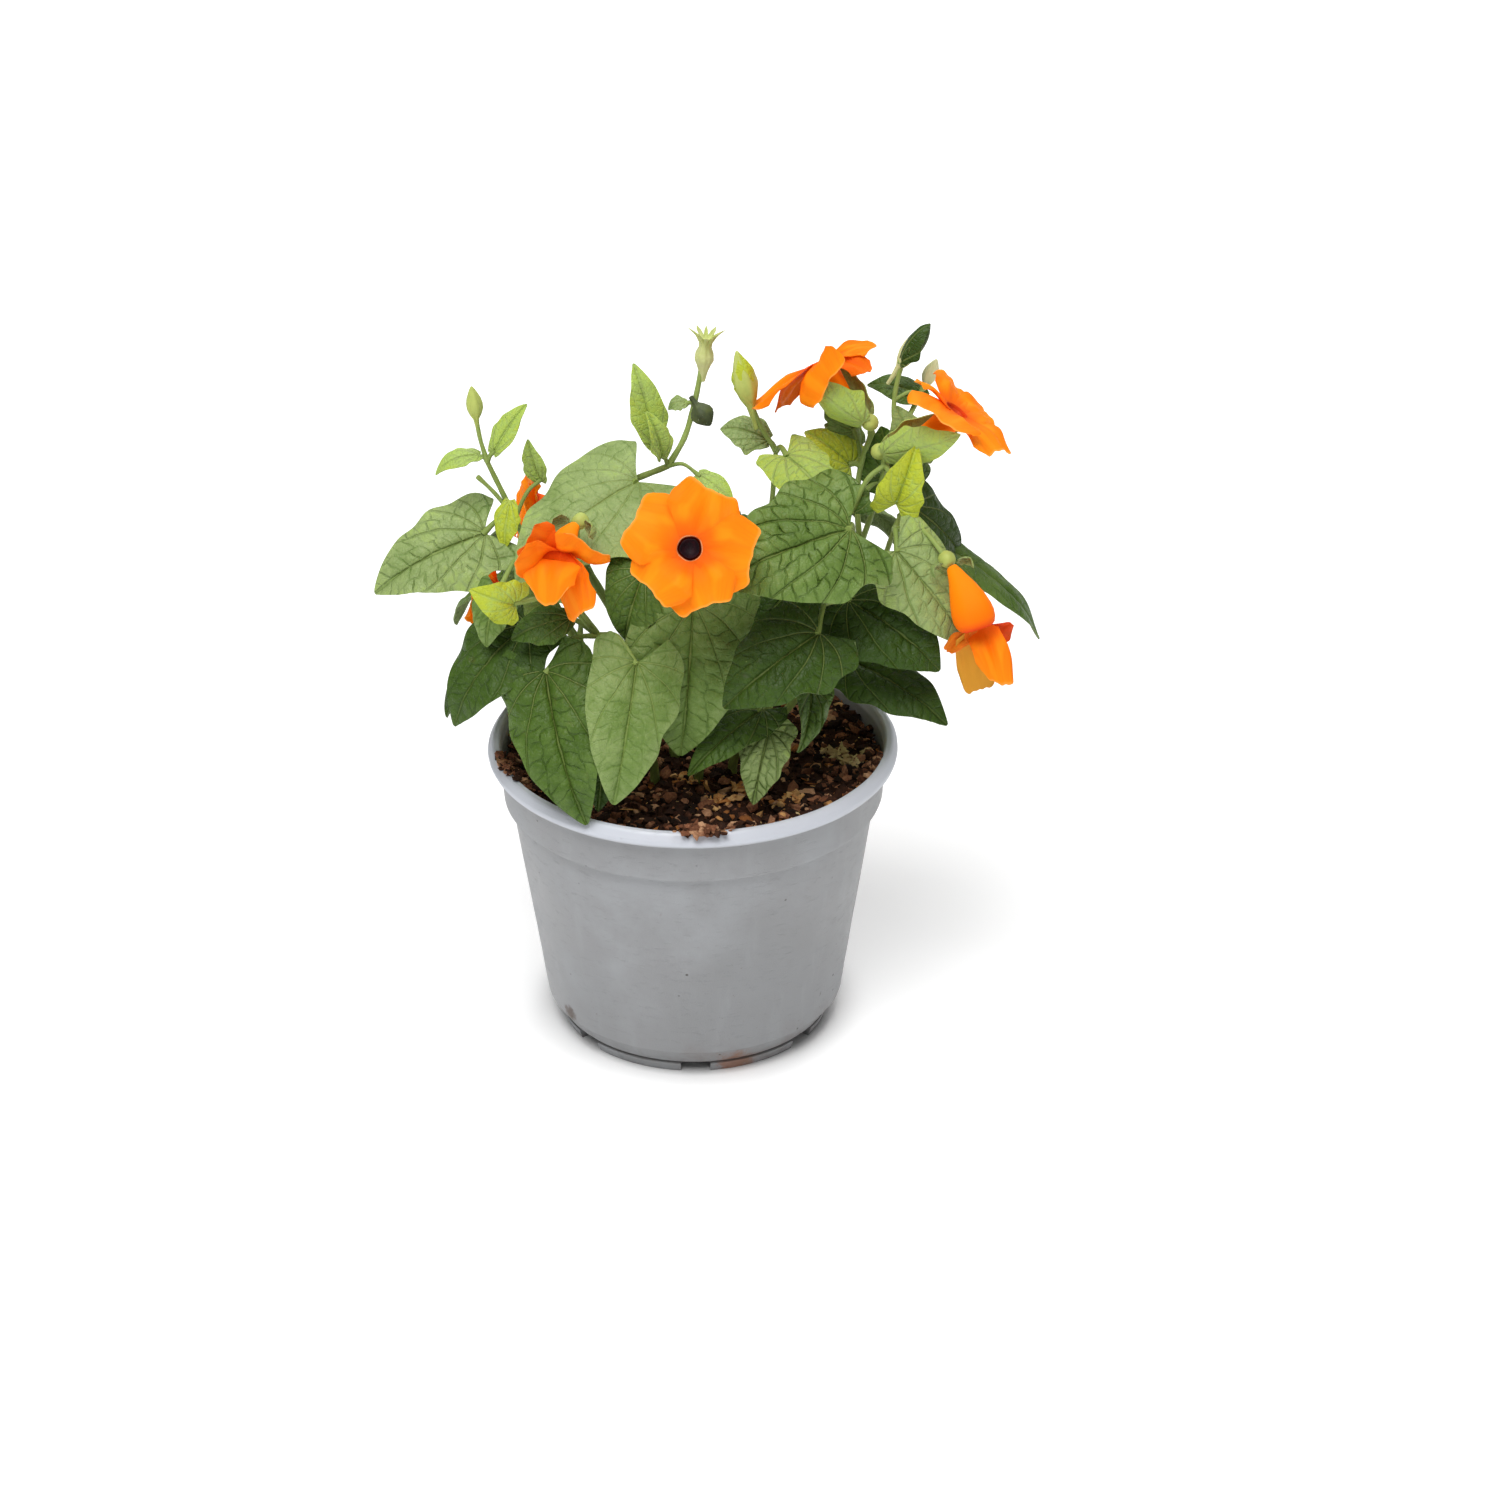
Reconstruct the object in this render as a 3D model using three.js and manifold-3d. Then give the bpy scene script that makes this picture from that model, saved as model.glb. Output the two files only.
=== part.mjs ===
// A black-eyed Susan vine (Thunbergia alata) in bloom, growing in a 13 cm plastic nursery pot.
// Millimetres, +Z up. The origin lies on the pot's axis, on the surface that the pot stands on.
// Every leafy stem is one body: stem, petioles, leaves, bracts, pedicels and buds are fused.
// Every bloom is two bodies by colour: the orange corolla and the dark eye in its throat.
import * as THREE from 'three';
import { mergeVertices } from 'three/addons/utils/BufferGeometryUtils.js';
import Module from 'manifold-3d';

const wasm = await Module();
wasm.setup();

// ---------------------------------------------------------------- driving dimensions

const GAP = 0.3; // clearance between bodies that touch
const WELD = 1e-3; // corners closer than this are one corner

const LIP_RADIUS = 65; // outside of the rolled lip
const LIP_BOTTOM = 94;
const POT_HEIGHT = 98.5;
const COLLAR_TOP_RADIUS = 61.5;
const COLLAR_LOW_RADIUS = 60.3;
const COLLAR_LOW = 80;
const STEP_HEIGHT = 78; // where the collar steps in to the wall
const WALL_TOP_RADIUS = 58;
const WALL_LOW_RADIUS = 48;
const BAND_HEIGHT = 9.5; // ridge above the narrowing foot band
const FOOT_RADIUS = 43.2;
const FOOT_WIDTH = 3.4;
const FOOT_HEIGHT = 3.5; // height of the notches between the foot lobes
const WALL = 1.4; // wall of the pot
const FLOOR_TOP = 5.5;
const BOSS_RADIUS = 9; // flat boss in the middle of the underside
const POT_SEGMENTS = 24;
const NOTCH_WIDTH = 9.5;
const NOTCH_COUNT = 7;
const NOTCH_FIRST = -89; // degrees, where the first notch lies
const DRAIN_RADIUS = 4;
const DRAIN_CIRCLE = 30; // circle that the drain holes lie on
const DRAIN_COUNT = 5;

const SOIL_TOP = 90;
const SOIL_RINGS = 3;
const SOIL_SEGMENTS = 18;
const SOIL_ROUGHNESS = 1.6;
const CRUMB_COUNT = 3;
const CRUMB_SIZE = 2.6;
const CRUMB_REACH = 54; // crumbs lie within this radius
const SPILLS = [[-86, 4], [-158, 3], [-15, 2]]; // angle, crumbs outwards after the first
const SPILL_START = 55.5; // radius where a spill starts
const SPILL_STEP = 2.4;
const SPILL_LIFTS = [3, 5.2, 8.4, 11, 11.2]; // height of each crumb of a spill above the soil
const ROOT_DEPTH = 8; // how far a stem stands in its hole
const HOLE_CLEARANCE = 0.7; // round a stem, at its side

const BLADE = 0.7; // thickness of a leaf
const PETAL = 0.7; // thickness of a petal
const STEM_SIDES = 5;
const PETIOLE_SIDES = 3;
const BUD_SIDES = 5;
const PETIOLE_RADIUS = 0.8;
const PETIOLE_RISE = 0.22; // how far a petiole arches, as a share of its length
const PETIOLE_ROOT = 0.8; // how far a petiole runs on under its leaf
const PEDICEL_ROOT = 0.1; // how far behind the tube a pedicel ends, as a share of the tube's reach

// A grown leaf has a heart-shaped base; a young leaf or a bract is lance-shaped.
// base: width at the base as a share of the greatest width; widest: where along the midrib the leaf
// is widest; lobe: how far the base reaches back, as a share of the length.
const GROWN = { base: 0.72, widest: 0.22, lobe: 0.26 };
const YOUNG = { base: 0.34, widest: 0.4, lobe: 0.04 };
const GROWN_WIDTH = 14.5; // a leaf wider than this is grown
const LEAF_TIP = 0.03;
const LARGE_LEAF = 32; // leaves wider than this get a finer grid
const LEAF_TOOTH = 0.05; // depth of the shallow teeth on the edge

const TUBE_SIDES = 6;
const THROAT_RADIUS = 3.5;
const THROAT_DEPTH = 6;
const TUBE_FOOT = 1.7; // radius of the tube at the receptacle
const TUBE_RADIUS = 4; // where the tube is widest, without any swelling
const TUBE_WIDEST = 0.74; // where that is, as a share of the tube's length
const TUBE_NECK = 0.95; // where the tube narrows to its rim, so too
const TUBE_RIM = 0.9; // thickness of the rim
const BRACT_WIDTH = 13;
const BRACT_LEAST = 0.25; // a short bract is no narrower than this share of it
const BRACT_START = 2.9; // from the axis of the tube, at its base
const BRACT_SPREAD = 7; // and at its tip
const RECEPTACLE = 3; // radius of the swelling that the tube and its bracts stand on
const PETALS = 5;
const PETAL_START = 3.8; // radius where a petal leaves the tube's rim
const PETAL_SUNK = 0.25; // how far below the rim's edge it does so
const PETAL_SECTOR = 0.69; // half width of a petal over its distance from the axis, where that is less
const PETAL_TILT = 0.1; // each petal lies over the next by this slope
const PETAL_FLARE = 0.16; // how much longer a petal is at its corners than in the middle, as a share
const PETAL_CORNER = 0.75; // where its corners lie across it
const PETAL_SHOULDER = 0.3; // and how much shorter it is at its sides
const PETAL_SKEW = 0.03; // and how much longer on its raised side
const PETAL_ROUND = 0.45; // how much a round petal falls back at its sides
const EVEN_WIDTH = 1.24; // width of a petal of an even bloom, as a share of the bloom's radius
const EVEN_ARCH = 1.3;

// ---------------------------------------------------------------- colours

const FINISH = {
  pot: { color: 0xa2a4a8, roughness: 0.45 },
  soil: { color: 0x33251c, roughness: 0.95 },
  dark: { color: 0x3f5a24, roughness: 0.5 },
  mid: { color: 0x5e7d3a, roughness: 0.5 },
  pale: { color: 0x86a466, roughness: 0.5 },
  young: { color: 0x94b04a, roughness: 0.5 },
  petal: { color: 0xff7e05, roughness: 0.6 },
  eye: { color: 0x22070b, roughness: 0.7 },
};

// ---------------------------------------------------------------- the leafy stems
//
// stems:   radius and the points that each one runs through. The first starts at the root in the soil,
//          and every other starts at a point of an earlier one.
// leaves:  [stem, point] that the petiole leaves from, joint of petiole and blade, tip of the blade,
//          direction that the upper face looks, greatest width, bow of the midrib, fold of the two
//          halves in degrees and twist towards the tip in degrees.
// blooms:  [stem, point] that the pedicel leaves from, receptacle, mouth of the tube, direction that
//          the bloom faces, how much the tube swells and the bracts' length as a share of its own, and
//          its five petals: tip, direction that the face looks, width, arch, cup, skew and roundness
//          of each. An even bloom has its radius, turn and each petal's lift in degrees instead.
// buds:    base, tip, greatest radius and form.

const VINES = {
  vine_front_left: {
    finish: 'mid',
    root: [-12, -15],
    stems: [{ radius: 1.5, path: [[-15, -18, 108], [-22, -24, 130], [-28, -28, 148], [-33, -32, 158]] }],
    leaves: [
      [[0, 4], [-44, -38, 141], [-32, -59, 99], [-0.3, -0.8, 0.5], 33, 5, 10, 0],
      [[0, 4], [-16, -42, 146], [-23, -59, 106], [0.1, -0.9, 0.4], 30, 4, 12, 0],
      [[0, 3], [-27, -40, 119], [-28, -52, 100], [0.2, -0.8, 0.5], 15, 2, 10, 0],
      [[0, 5], [-36, -34, 157], [-54, -38, 152], [-0.1, -0.6, 0.8], 14, 2, 8, 0],
      [[0, 4], [-50, -24, 150], [-73, -37, 122], [-0.6, -0.7, 0.4], 31, 5, 8, 0],
      [[0, 4], [-52, -41, 165], [-65, -46, 172], [-0.1, -0.9, 0.3], 15, 3, 10, 0],
    ],
    blooms: [
      [[0, 5], [-34, -32, 186.5], [-38, -41, 181.5], [-0.2, -0.6, -0.78], 0, 0.3, [
        [[-29.7, -47, 187.3], [-0.25, -0.83, -0.49], 23, 1.5, 0, 0.03, 0],
        [[-32.1, -50, 166.1], [-0.61, -0.77, 0.21], 16, 1.5, 0, -0.08, 0.1],
        [[-41, -53, 169.9], [-0.22, -0.65, 0.73], 14, 2, 2, 0, 1],
        [[-51.6, -48, 181], [0.42, -0.78, -0.46], 13, 1, 0, 0, 0.9],
        [[-47.6, -43, 187.4], [0.07, -0.97, -0.21], 16, 1, 0, 0, 0],
      ]],
    ],
    buds: [],
  },
  vine_left: {
    finish: 'pale',
    root: [-20, -3],
    stems: [
      { radius: 1.5, path: [[-26, -4, 110], [-38, -5, 138], [-48, -3, 160], [-54, -2, 175], [-62, 0, 193]] },
      { radius: 0.7, path: [[0, 6], [-64, 0, 201], [-65, 0, 209]] },
      { radius: 0.7, path: [[0, 5], [-60, -1, 183], [-65, -2, 189]] },
    ],
    leaves: [
      [[0, 5], [-63, -6, 172], [-97, -16, 157], [-0.2, -0.7, 0.8], 32, 4, 8, 0],
      [[0, 4], [-58, -27, 163], [-62, -34, 147], [-0.3, -0.8, 0.4], 15, 2, 10, 0],
      [[0, 5], [-55, -6, 183], [-57, -11, 169], [-0.4, -0.9, 0.3], 9, 1, 12, 0],
      [[0, 6], [-60, 0, 196], [-50, 3, 211], [-0.5, -0.8, 0.5], 9, 1, 20, 0],
      [[0, 6], [-64, 0, 195], [-78, -2, 190], [0, -0.4, 0.9], 8, 3, 15, 0],
      [[0, 5], [-46, 5, 184], [-50, 5, 198], [-0.3, -0.9, 0.3], 8, 1, 20, 0],
    ],
    blooms: [],
    buds: [[[-65, 0, 208], [-66, 0, 218], 2.6, 'closed']],
  },
  vine_middle_left: {
    finish: 'pale',
    root: [-6, 3],
    stems: [
      {
        radius: 1.9,
        path: [[-10, 4, 110], [-22, 4, 135], [-34, 2, 160], [-36, 2, 172], [-24, 6, 181], [-7, 6, 189]],
      },
      { radius: 0.9, path: [[0, 7], [-2, 7, 198], [1, 9, 208], [4, 10, 223]] },
    ],
    leaves: [
      [[0, 6], [-16, -3, 188], [-53, -26, 166], [-0.3, -0.6, 0.8], 44, 5, 6, 0],
      [[0, 7], [-11, 8, 195], [-17, 10, 221], [0.3, -0.9, 0.2], 12, 2, 15, 0],
      [[0, 7], [-9, 3, 193], [-13, 1, 209], [0.5, -0.8, 0.2], 9, 2, 30, 0],
      [[1, 2], [-1, 8, 209], [-7, 8, 207], [0, -0.5, 0.9], 6, 2, 10, 0],
      [[0, 7], [2, 4, 187], [13, -2, 181], [0.1, -0.6, 0.8], 9, 1, 10, 0],
    ],
    blooms: [],
    buds: [
      [[4, 10, 221], [5, 10, 232], 4.2, 'spent'],
      [[2, 8, 208], [6, 7, 202], 3.6, 'closed'],
    ],
  },
  vine_middle: {
    finish: 'mid',
    root: [2, -14],
    stems: [{ radius: 1.5, path: [[3, -18, 110], [2, -21, 138], [-3, -22, 158], [-6, -22, 170]] }],
    leaves: [
      [[0, 4], [1, -29, 160], [-3, -43, 114], [0.1, -0.9, 0.4], 40, 5, 10, 0],
      [[0, 5], [-14, -26, 168], [-20, -33, 149], [-0.2, -0.9, 0.4], 23, 3, 8, 0],
      [[0, 5], [-16, -16, 171], [-30, -12, 176], [-0.1, -0.7, 0.7], 15, 2, 8, 0],
      [[0, 2], [22, -27, 122], [-1, -43, 108], [0, -0.6, 0.8], 16, 3, 10, 0],
      [[0, 2], [24, -31, 117], [19, -44, 98], [-0.1, -0.8, 0.6], 17, 2, 8, 0],
    ],
    blooms: [
      [[0, 5], [0.5, -38, 182], [0.5, -58, 191.5], [0, -0.88, 0.48], 0, 0.78, [
        [[7, -49.9, 206.4], [0, -0.88, 0.48], 22.5, 1, 0, 0.07, 0],
        [[18.5, -59.5, 189.1], [0, -0.88, 0.48], 24, 1, 0, 0.06, 0],
        [[5, -66.1, 176.6], [0, -0.88, 0.48], 22, 1, 0, -0.05, 0],
        [[-11.5, -64.1, 181.6], [0, -0.88, 0.48], 21, 2, 0, 0, 0],
        [[-15.7, -53.9, 199.1], [0, -0.88, 0.48], 22.5, 1, 0, 0, 0],
      ]],
    ],
    buds: [],
  },
  vine_middle_right: {
    finish: 'mid',
    root: [13, -9],
    stems: [{ radius: 1.5, path: [[20, -12, 108], [32, -15, 132], [42, -18, 155], [49, -24, 180]] }],
    leaves: [
      [[0, 5], [48, -33, 186], [8, -45, 174], [-0.1, -0.75, 0.65], 42, 5, 8, 0],
      [[0, 4], [39, -36, 153], [10, -50, 135], [-0.1, -0.8, 0.6], 32, 4, 8, 0],
      [[0, 4], [48, -24, 158], [76, -35, 140], [0.2, -0.7, 0.7], 32, 4, 6, 0],
      [[0, 3], [37, -22, 126], [33, -38, 113], [0.3, -0.8, 0.5], 15, 3, 20, 50],
      [[0, 4], [33, -9, 157], [20, -14, 143], [0, -0.8, 0.6], 24, 3, 8, 0],
    ],
    blooms: [],
    buds: [],
  },
  vine_right: {
    finish: 'mid',
    root: [19, 1],
    stems: [{ radius: 1.5, path: [[30, 0, 108], [44, -2, 132], [57, -5, 157], [62, -14, 177]] }],
    leaves: [
      [[0, 5], [62, -27, 176], [84, -32, 147], [0.2, -0.85, 0.45], 26, 4, 8, 0],
      [[0, 3], [48, -14, 133], [79, -30, 119], [0.1, -0.5, 0.9], 25, 3, 6, 0],
      [[0, 5], [73, 0, 167], [110, 2, 133], [0.55, -0.1, 0.85], 24, 4, 8, 0],
      [[0, 5], [68, -4, 180], [84, 4, 159], [0.2, -0.6, 0.8], 22, 2, 8, 0],
      [[0, 4], [64, -5, 146], [78, -4, 138], [0.2, -0.5, 0.8], 14, 2, 8, 0],
    ],
    blooms: [
      [[0, 5], [78.5, -32, 173], [86.5, -45, 158.6], [0.3, -0.4, -0.85], 2.4, 0.1, [
        [[93, -50, 142.7], [0.1, -0.93, 0.35], 10.5, 1.5, 0, 0.16, 0.4],
        [[94.5, -40, 151.4], [-0.3, -0.85, 0.43], 13, 1, 0, 0, 0.7],
        [[87.9, -38, 134.4], [-0.1, -0.93, 0.35], 13, 1, 0, -0.1, 0.3],
        [[77.2, -39, 148.2], [-0.2, -0.9, 0.4], 5, 1, 0, 0, 0.6],
        [[84.6, -32.5, 140], [-0.1, 0.9, 0.4], 8, 1, 0, 0, 0.6],
      ]],
    ],
    buds: [],
  },
  vine_upper_right: {
    finish: 'young',
    root: [16, 11],
    stems: [
      { radius: 1.5, path: [[28, 10, 110], [42, 6, 138], [52, 0, 165], [57, -9, 187], [59, -9, 196]] },
      { radius: 0.8, path: [[0, 6], [62, 2, 200], [62, 8, 210], [64, 10, 221]] },
      { radius: 0.8, path: [[1, 1], [67, 9, 205], [72, 14, 214]] },
      { radius: 0.9, path: [[0, 4], [51, 5, 178], [52, 4, 190], [55, 1, 202]] },
    ],
    leaves: [
      [[0, 6], [49, -14, 182], [42, -3, 192], [0.1, -0.9, 0.3], 16, 1, 16, 0],
      [[0, 6], [62, -18, 187], [67, -18, 204], [-0.1, -0.95, 0.1], 14.5, 2, 25, 0],
      [[3, 2], [49, 4, 190], [35, 5, 201], [0.1, -0.7, 0.7], 16, 2, 12, 0],
      [[3, 2], [52, 9, 194], [41, 8, 202], [0, -0.8, 0.6], 13, 2, 10, 0],
      [[3, 2], [50, 6, 201], [41, 6, 213], [0, -0.9, 0.4], 12, 1, 10, 0],
      [[1, 1], [68, 8, 190], [63, 5, 209], [0.2, -0.9, 0.3], 18, 2, 10, 0],
      [[1, 2], [72, 12, 209], [54, 14, 213], [0, -0.4, 0.9], 12, 2, 10, 0],
      [[3, 1], [63, 6, 184], [58, 3, 203], [-0.1, -0.9, 0.4], 22, 2, 8, 0],
    ],
    blooms: [
      [[0, 6], [60, -9, 201], [80.0, -12.0, 215.4], [0.57, 0.06, 0.82], 0, 1, [
        [[92.1, -23.1, 206.7], [0.57, 0.06, 0.82], 19, 1.3, 0, 0.03, 0],
        [[73.4, -27.7, 219.7], [0.56, 0.03, 0.83], 25, 1, 0, 0.03, 0],
        [[67.5, -9.7, 224.1], [0.63, 0.05, 0.78], 9, 1, 0, 0.03, 0.5],
        [[79.4, 3.5, 217.9], [0.59, -0.23, 0.78], 17, 1.3, 0, 0.03, 0],
        [[90.8, -2.8, 208.2], [0.47, -0.02, 0.88], 17, 1.3, 0, 0.03, 0],
      ]],
      [[3, 3], [52, -4, 210], [39.5, 2, 225.4], [-0.4, 0.4, 0.82], 0, 0.9, [
        [[40.8, -12, 222.5], [-0.83, -0.18, 0.53], 24, 4, -1, 0.03, 0.2],
        [[19.3, 1, 211.1], [-0.36, 0.01, 0.93], 16, 1, -1, 0.03, 0.3],
        [[27.3, 11, 205.8], [-0.38, 0.13, 0.92], 12, 1, 0, 0.03, 0.4],
        [[56.1, 6, 228.9], [-0.35, -0.03, 0.93], 8, 1, 0, 0.03, 0.6],
        [[54.4, -2, 223.8], [-0.37, 0.05, 0.93], 10, 1, 0, 0.03, 0.6],
      ]],
    ],
    buds: [
      [[64, 10, 221], [72, 10, 234], 3, 'closed'],
      [[72, 14, 213], [75, 14, 221], 2.4, 'closed'],
    ],
  },
  vine_upper_middle: {
    finish: 'young',
    root: [6, 8],
    stems: [
      { radius: 1.4, path: [[12, 9, 110], [18, 8, 140], [24, 4, 170], [26, 4, 195]] },
      { radius: 0.8, path: [[0, 5], [21, 3, 205], [18, 3, 213]] },
    ],
    leaves: [
      [[0, 5], [29, -4, 197], [45, -27, 188], [-0.1, -0.5, 0.9], 20, 3, 8, 0],
      [[0, 5], [24, 7, 197], [9, 10, 200], [-0.1, -0.5, 0.9], 14, 2, 10, 0],
    ],
    blooms: [],
    buds: [[[18, 3, 212], [14, 3, 229], 3.6, 'closed']],
  },
  vine_back: {
    finish: 'mid',
    root: [-3, 16],
    stems: [{ radius: 1.5, path: [[-6, 22, 108], [-10, 30, 128], [-12, 36, 148]] }],
    leaves: [
      [[0, 4], [-10, 44, 148], [-16, 62, 108], [-0.1, 0.85, 0.5], 36, 5, 10, 0],
      [[0, 4], [-25, 45, 152], [-44, 62, 124], [-0.4, 0.7, 0.6], 32, 5, 8, 0],
      [[0, 4], [-12, 30, 162], [-32, 27, 158], [-0.1, 0.1, 1], 26, 4, 8, 0],
      [[0, 4], [2, 42, 156], [10, 62, 134], [0.1, 0.7, 0.7], 30, 4, 8, 0],
    ],
    blooms: [
      [
        [0, 3], [-1, 46, 110], [2, 68, 120], [0.2, 0.9, 0.4], 0, 0.78,
        { radius: 18.5, turn: 8, lifts: [0, 3, -3, 0, 0] },
      ],
    ],
    buds: [],
  },
  vine_back_right: {
    finish: 'mid',
    root: [8, 17],
    stems: [{ radius: 1.5, path: [[14, 22, 108], [22, 30, 126], [30, 36, 142]] }],
    leaves: [
      [[0, 4], [34, 44, 146], [36, 64, 118], [0.2, 0.85, 0.5], 32, 5, 10, 0],
      [[0, 4], [46, 26, 150], [80, 30, 128], [0.4, 0.3, 0.9], 34, 5, 8, 0],
      [[0, 4], [26, 24, 158], [4, 18, 160], [0, 0.1, 1], 28, 4, 8, 0],
      [[0, 3], [46, 30, 122], [66, 40, 103], [0.5, 0.5, 0.7], 26, 4, 8, 0],
      [[0, 4], [44, 40, 162], [66, 50, 142], [0.4, 0.6, 0.7], 28, 4, 8, 0],
    ],
    blooms: [],
    buds: [],
  },
  vine_back_left: {
    finish: 'mid',
    root: [-13, 8],
    stems: [{ radius: 1.5, path: [[-24, 12, 106], [-36, 16, 124], [-46, 16, 140]] }],
    leaves: [
      [[0, 4], [-52, 32, 140], [-78, 42, 118], [-0.6, 0.3, 0.8], 32, 5, 8, 0],
      [[0, 3], [-48, 28, 118], [-58, 42, 101], [-0.6, 0.7, 0.5], 22, 3, 8, 0],
      [[0, 4], [-56, 6, 130], [-78, -8, 110], [-0.8, -0.2, 0.7], 28, 4, 8, 0],
      [[0, 4], [-46, 36, 158], [-64, 50, 140], [-0.5, 0.5, 0.7], 28, 4, 8, 0],
    ],
    blooms: [
      [
        [0, 4], [-46, 6, 144], [-62, 10, 143], [-0.95, 0.2, 0.1], 0, 0.78,
        { radius: 13, turn: 0, lifts: [40, 45, 40, 45, 40] },
      ],
      [
        [0, 3], [-32, 18, 166], [-49, 15, 171], [-0.95, -0.1, 0.25], 0, 0.78,
        { radius: 12, turn: 0, lifts: [35, 40, 35, 35, 40] },
      ],
    ],
    buds: [],
  },
};

// ---------------------------------------------------------------- solids

const vector = (p) => new THREE.Vector3(...p);
const radians = THREE.MathUtils.degToRad;

// A closed geometry as a solid: equal corners merged, collapsed faces dropped, faces turned outwards.
function solidOf(geometry) {
  const bare = new THREE.BufferGeometry();
  bare.setAttribute('position', geometry.getAttribute('position'));
  bare.setIndex(geometry.index);
  const merged = mergeVertices(bare, WELD);
  const place = merged.attributes.position;
  const index = merged.index.array;
  const faces = [];
  let volume = 0;
  const a = new THREE.Vector3();
  const b = new THREE.Vector3();
  const c = new THREE.Vector3();
  for (let i = 0; i < index.length; i += 3) {
    const [p, q, r] = index.slice(i, i + 3);
    if (p === q || q === r || r === p) continue;
    faces.push([p, q, r]);
    a.fromBufferAttribute(place, p);
    b.fromBufferAttribute(place, q);
    c.fromBufferAttribute(place, r);
    volume += a.dot(b.cross(c));
  }
  const outward = volume > 0 ? faces : faces.map(([p, q, r]) => [p, r, q]);
  const triVerts = new Uint32Array(outward.flat());
  return new wasm.Manifold(new wasm.Mesh({ numProp: 3, vertProperties: place.array, triVerts }));
}

// The union of solids, without loose scraps and with any sealed hollow filled.
function joined(solids) {
  const whole = solids.reduce((sum, solid) => sum.add(solid));
  return whole.decompose().reduce((most, piece) => (piece.volume() > most.volume() ? piece : most));
}

// A solid as a named mesh with its finish.
function meshOf(name, solid, finish) {
  const { numProp, vertProperties, triVerts } = solid.getMesh();
  if (numProp !== 3) throw new Error(`${name} holds more than places`);
  const geometry = new THREE.BufferGeometry();
  geometry.setAttribute('position', new THREE.BufferAttribute(vertProperties, 3));
  geometry.setIndex(new THREE.BufferAttribute(triVerts, 1));
  geometry.computeVertexNormals();
  const mesh = new THREE.Mesh(geometry, new THREE.MeshStandardMaterial({ ...FINISH[finish], metalness: 0 }));
  mesh.name = name;
  return mesh;
}

// A tube of even radius along a smooth curve through the points.
function tubeSolid(points, radius, sides, steps) {
  const ring = Array.from({ length: sides }, (_, k) => {
    const angle = (2 * Math.PI * k) / sides;
    return new THREE.Vector2(radius * Math.cos(angle), radius * Math.sin(angle));
  });
  const extrudePath = new THREE.CatmullRomCurve3(points.map(vector), false, 'centripetal');
  const shape = new THREE.Shape(ring);
  return solidOf(new THREE.ExtrudeGeometry(shape, { steps, bevelEnabled: false, extrudePath }));
}

// A thin blade whose upper face is point(s, t), with s from base to tip and t across from -1 to 1.
// The lower face lies one thickness below, split into triangles just as the upper one is.
function bladeSolid(point, rows, columns, thickness, pointed) {
  const upper = [];
  const lower = [];
  const STEP = 0.02;
  for (let i = 0; i <= rows; i++) {
    for (let j = 0; j <= columns; j++) {
      const s = i / rows;
      const t = (2 * j) / columns - 1;
      const here = point(s, pointed && i === rows ? 0 : t);
      const [s0, s1] = [Math.max(s - STEP, 0), Math.min(s + STEP, 0.99)];
      const [t0, t1] = [Math.max(t - STEP, -1), Math.min(t + STEP, 1)];
      const alongRow = point(s1, t).sub(point(Math.min(s0, 0.95), t));
      const acrossRow = point(Math.min(s, 0.95), t1).sub(point(Math.min(s, 0.95), t0));
      upper.push(here);
      lower.push(here.clone().addScaledVector(acrossRow.cross(alongRow).normalize(), -thickness));
    }
  }
  if (pointed) {
    const last = rows * (columns + 1);
    for (let j = 1; j <= columns; j++) {
      lower[last + j].copy(lower[last + columns / 2]);
    }
    lower[last].copy(lower[last + columns / 2]);
  }
  const count = upper.length;
  const at = (i, j) => i * (columns + 1) + j;
  const index = [];
  for (let i = 0; i < rows; i++) {
    for (let j = 0; j < columns; j++) {
      const [a, b, c, d] = [at(i, j), at(i, j + 1), at(i + 1, j + 1), at(i + 1, j)];
      index.push(a, b, c, a, c, d);
      index.push(count + a, count + c, count + b, count + a, count + d, count + c);
    }
  }
  const edge = [];
  for (let j = 0; j < columns; j++) edge.push(at(0, j));
  for (let i = 0; i < rows; i++) edge.push(at(i, columns));
  for (let j = columns; j > 0; j--) edge.push(at(rows, j));
  for (let i = rows; i > 0; i--) edge.push(at(i, 0));
  edge.forEach((a, k) => {
    const b = edge[(k + 1) % edge.length];
    index.push(b, a, count + a, b, count + a, count + b);
  });
  const geometry = new THREE.BufferGeometry().setFromPoints([...upper, ...lower]);
  geometry.setIndex(index);
  return solidOf(geometry);
}

// ---------------------------------------------------------------- leaves

// Half width of a leaf at s along its midrib, as a share of the greatest: round shoulders, then a
// nearly straight taper to a drawn-out tip.
function leafWidth(s, { base, widest }) {
  if (s < widest) return base + (1 - base) * Math.sin((Math.PI * s) / (2 * widest));
  const u = (s - widest) / (1 - widest);
  return LEAF_TIP + (1 - LEAF_TIP) * (1 - u) ** 0.9 * (1 + 0.6 * u);
}

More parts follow.
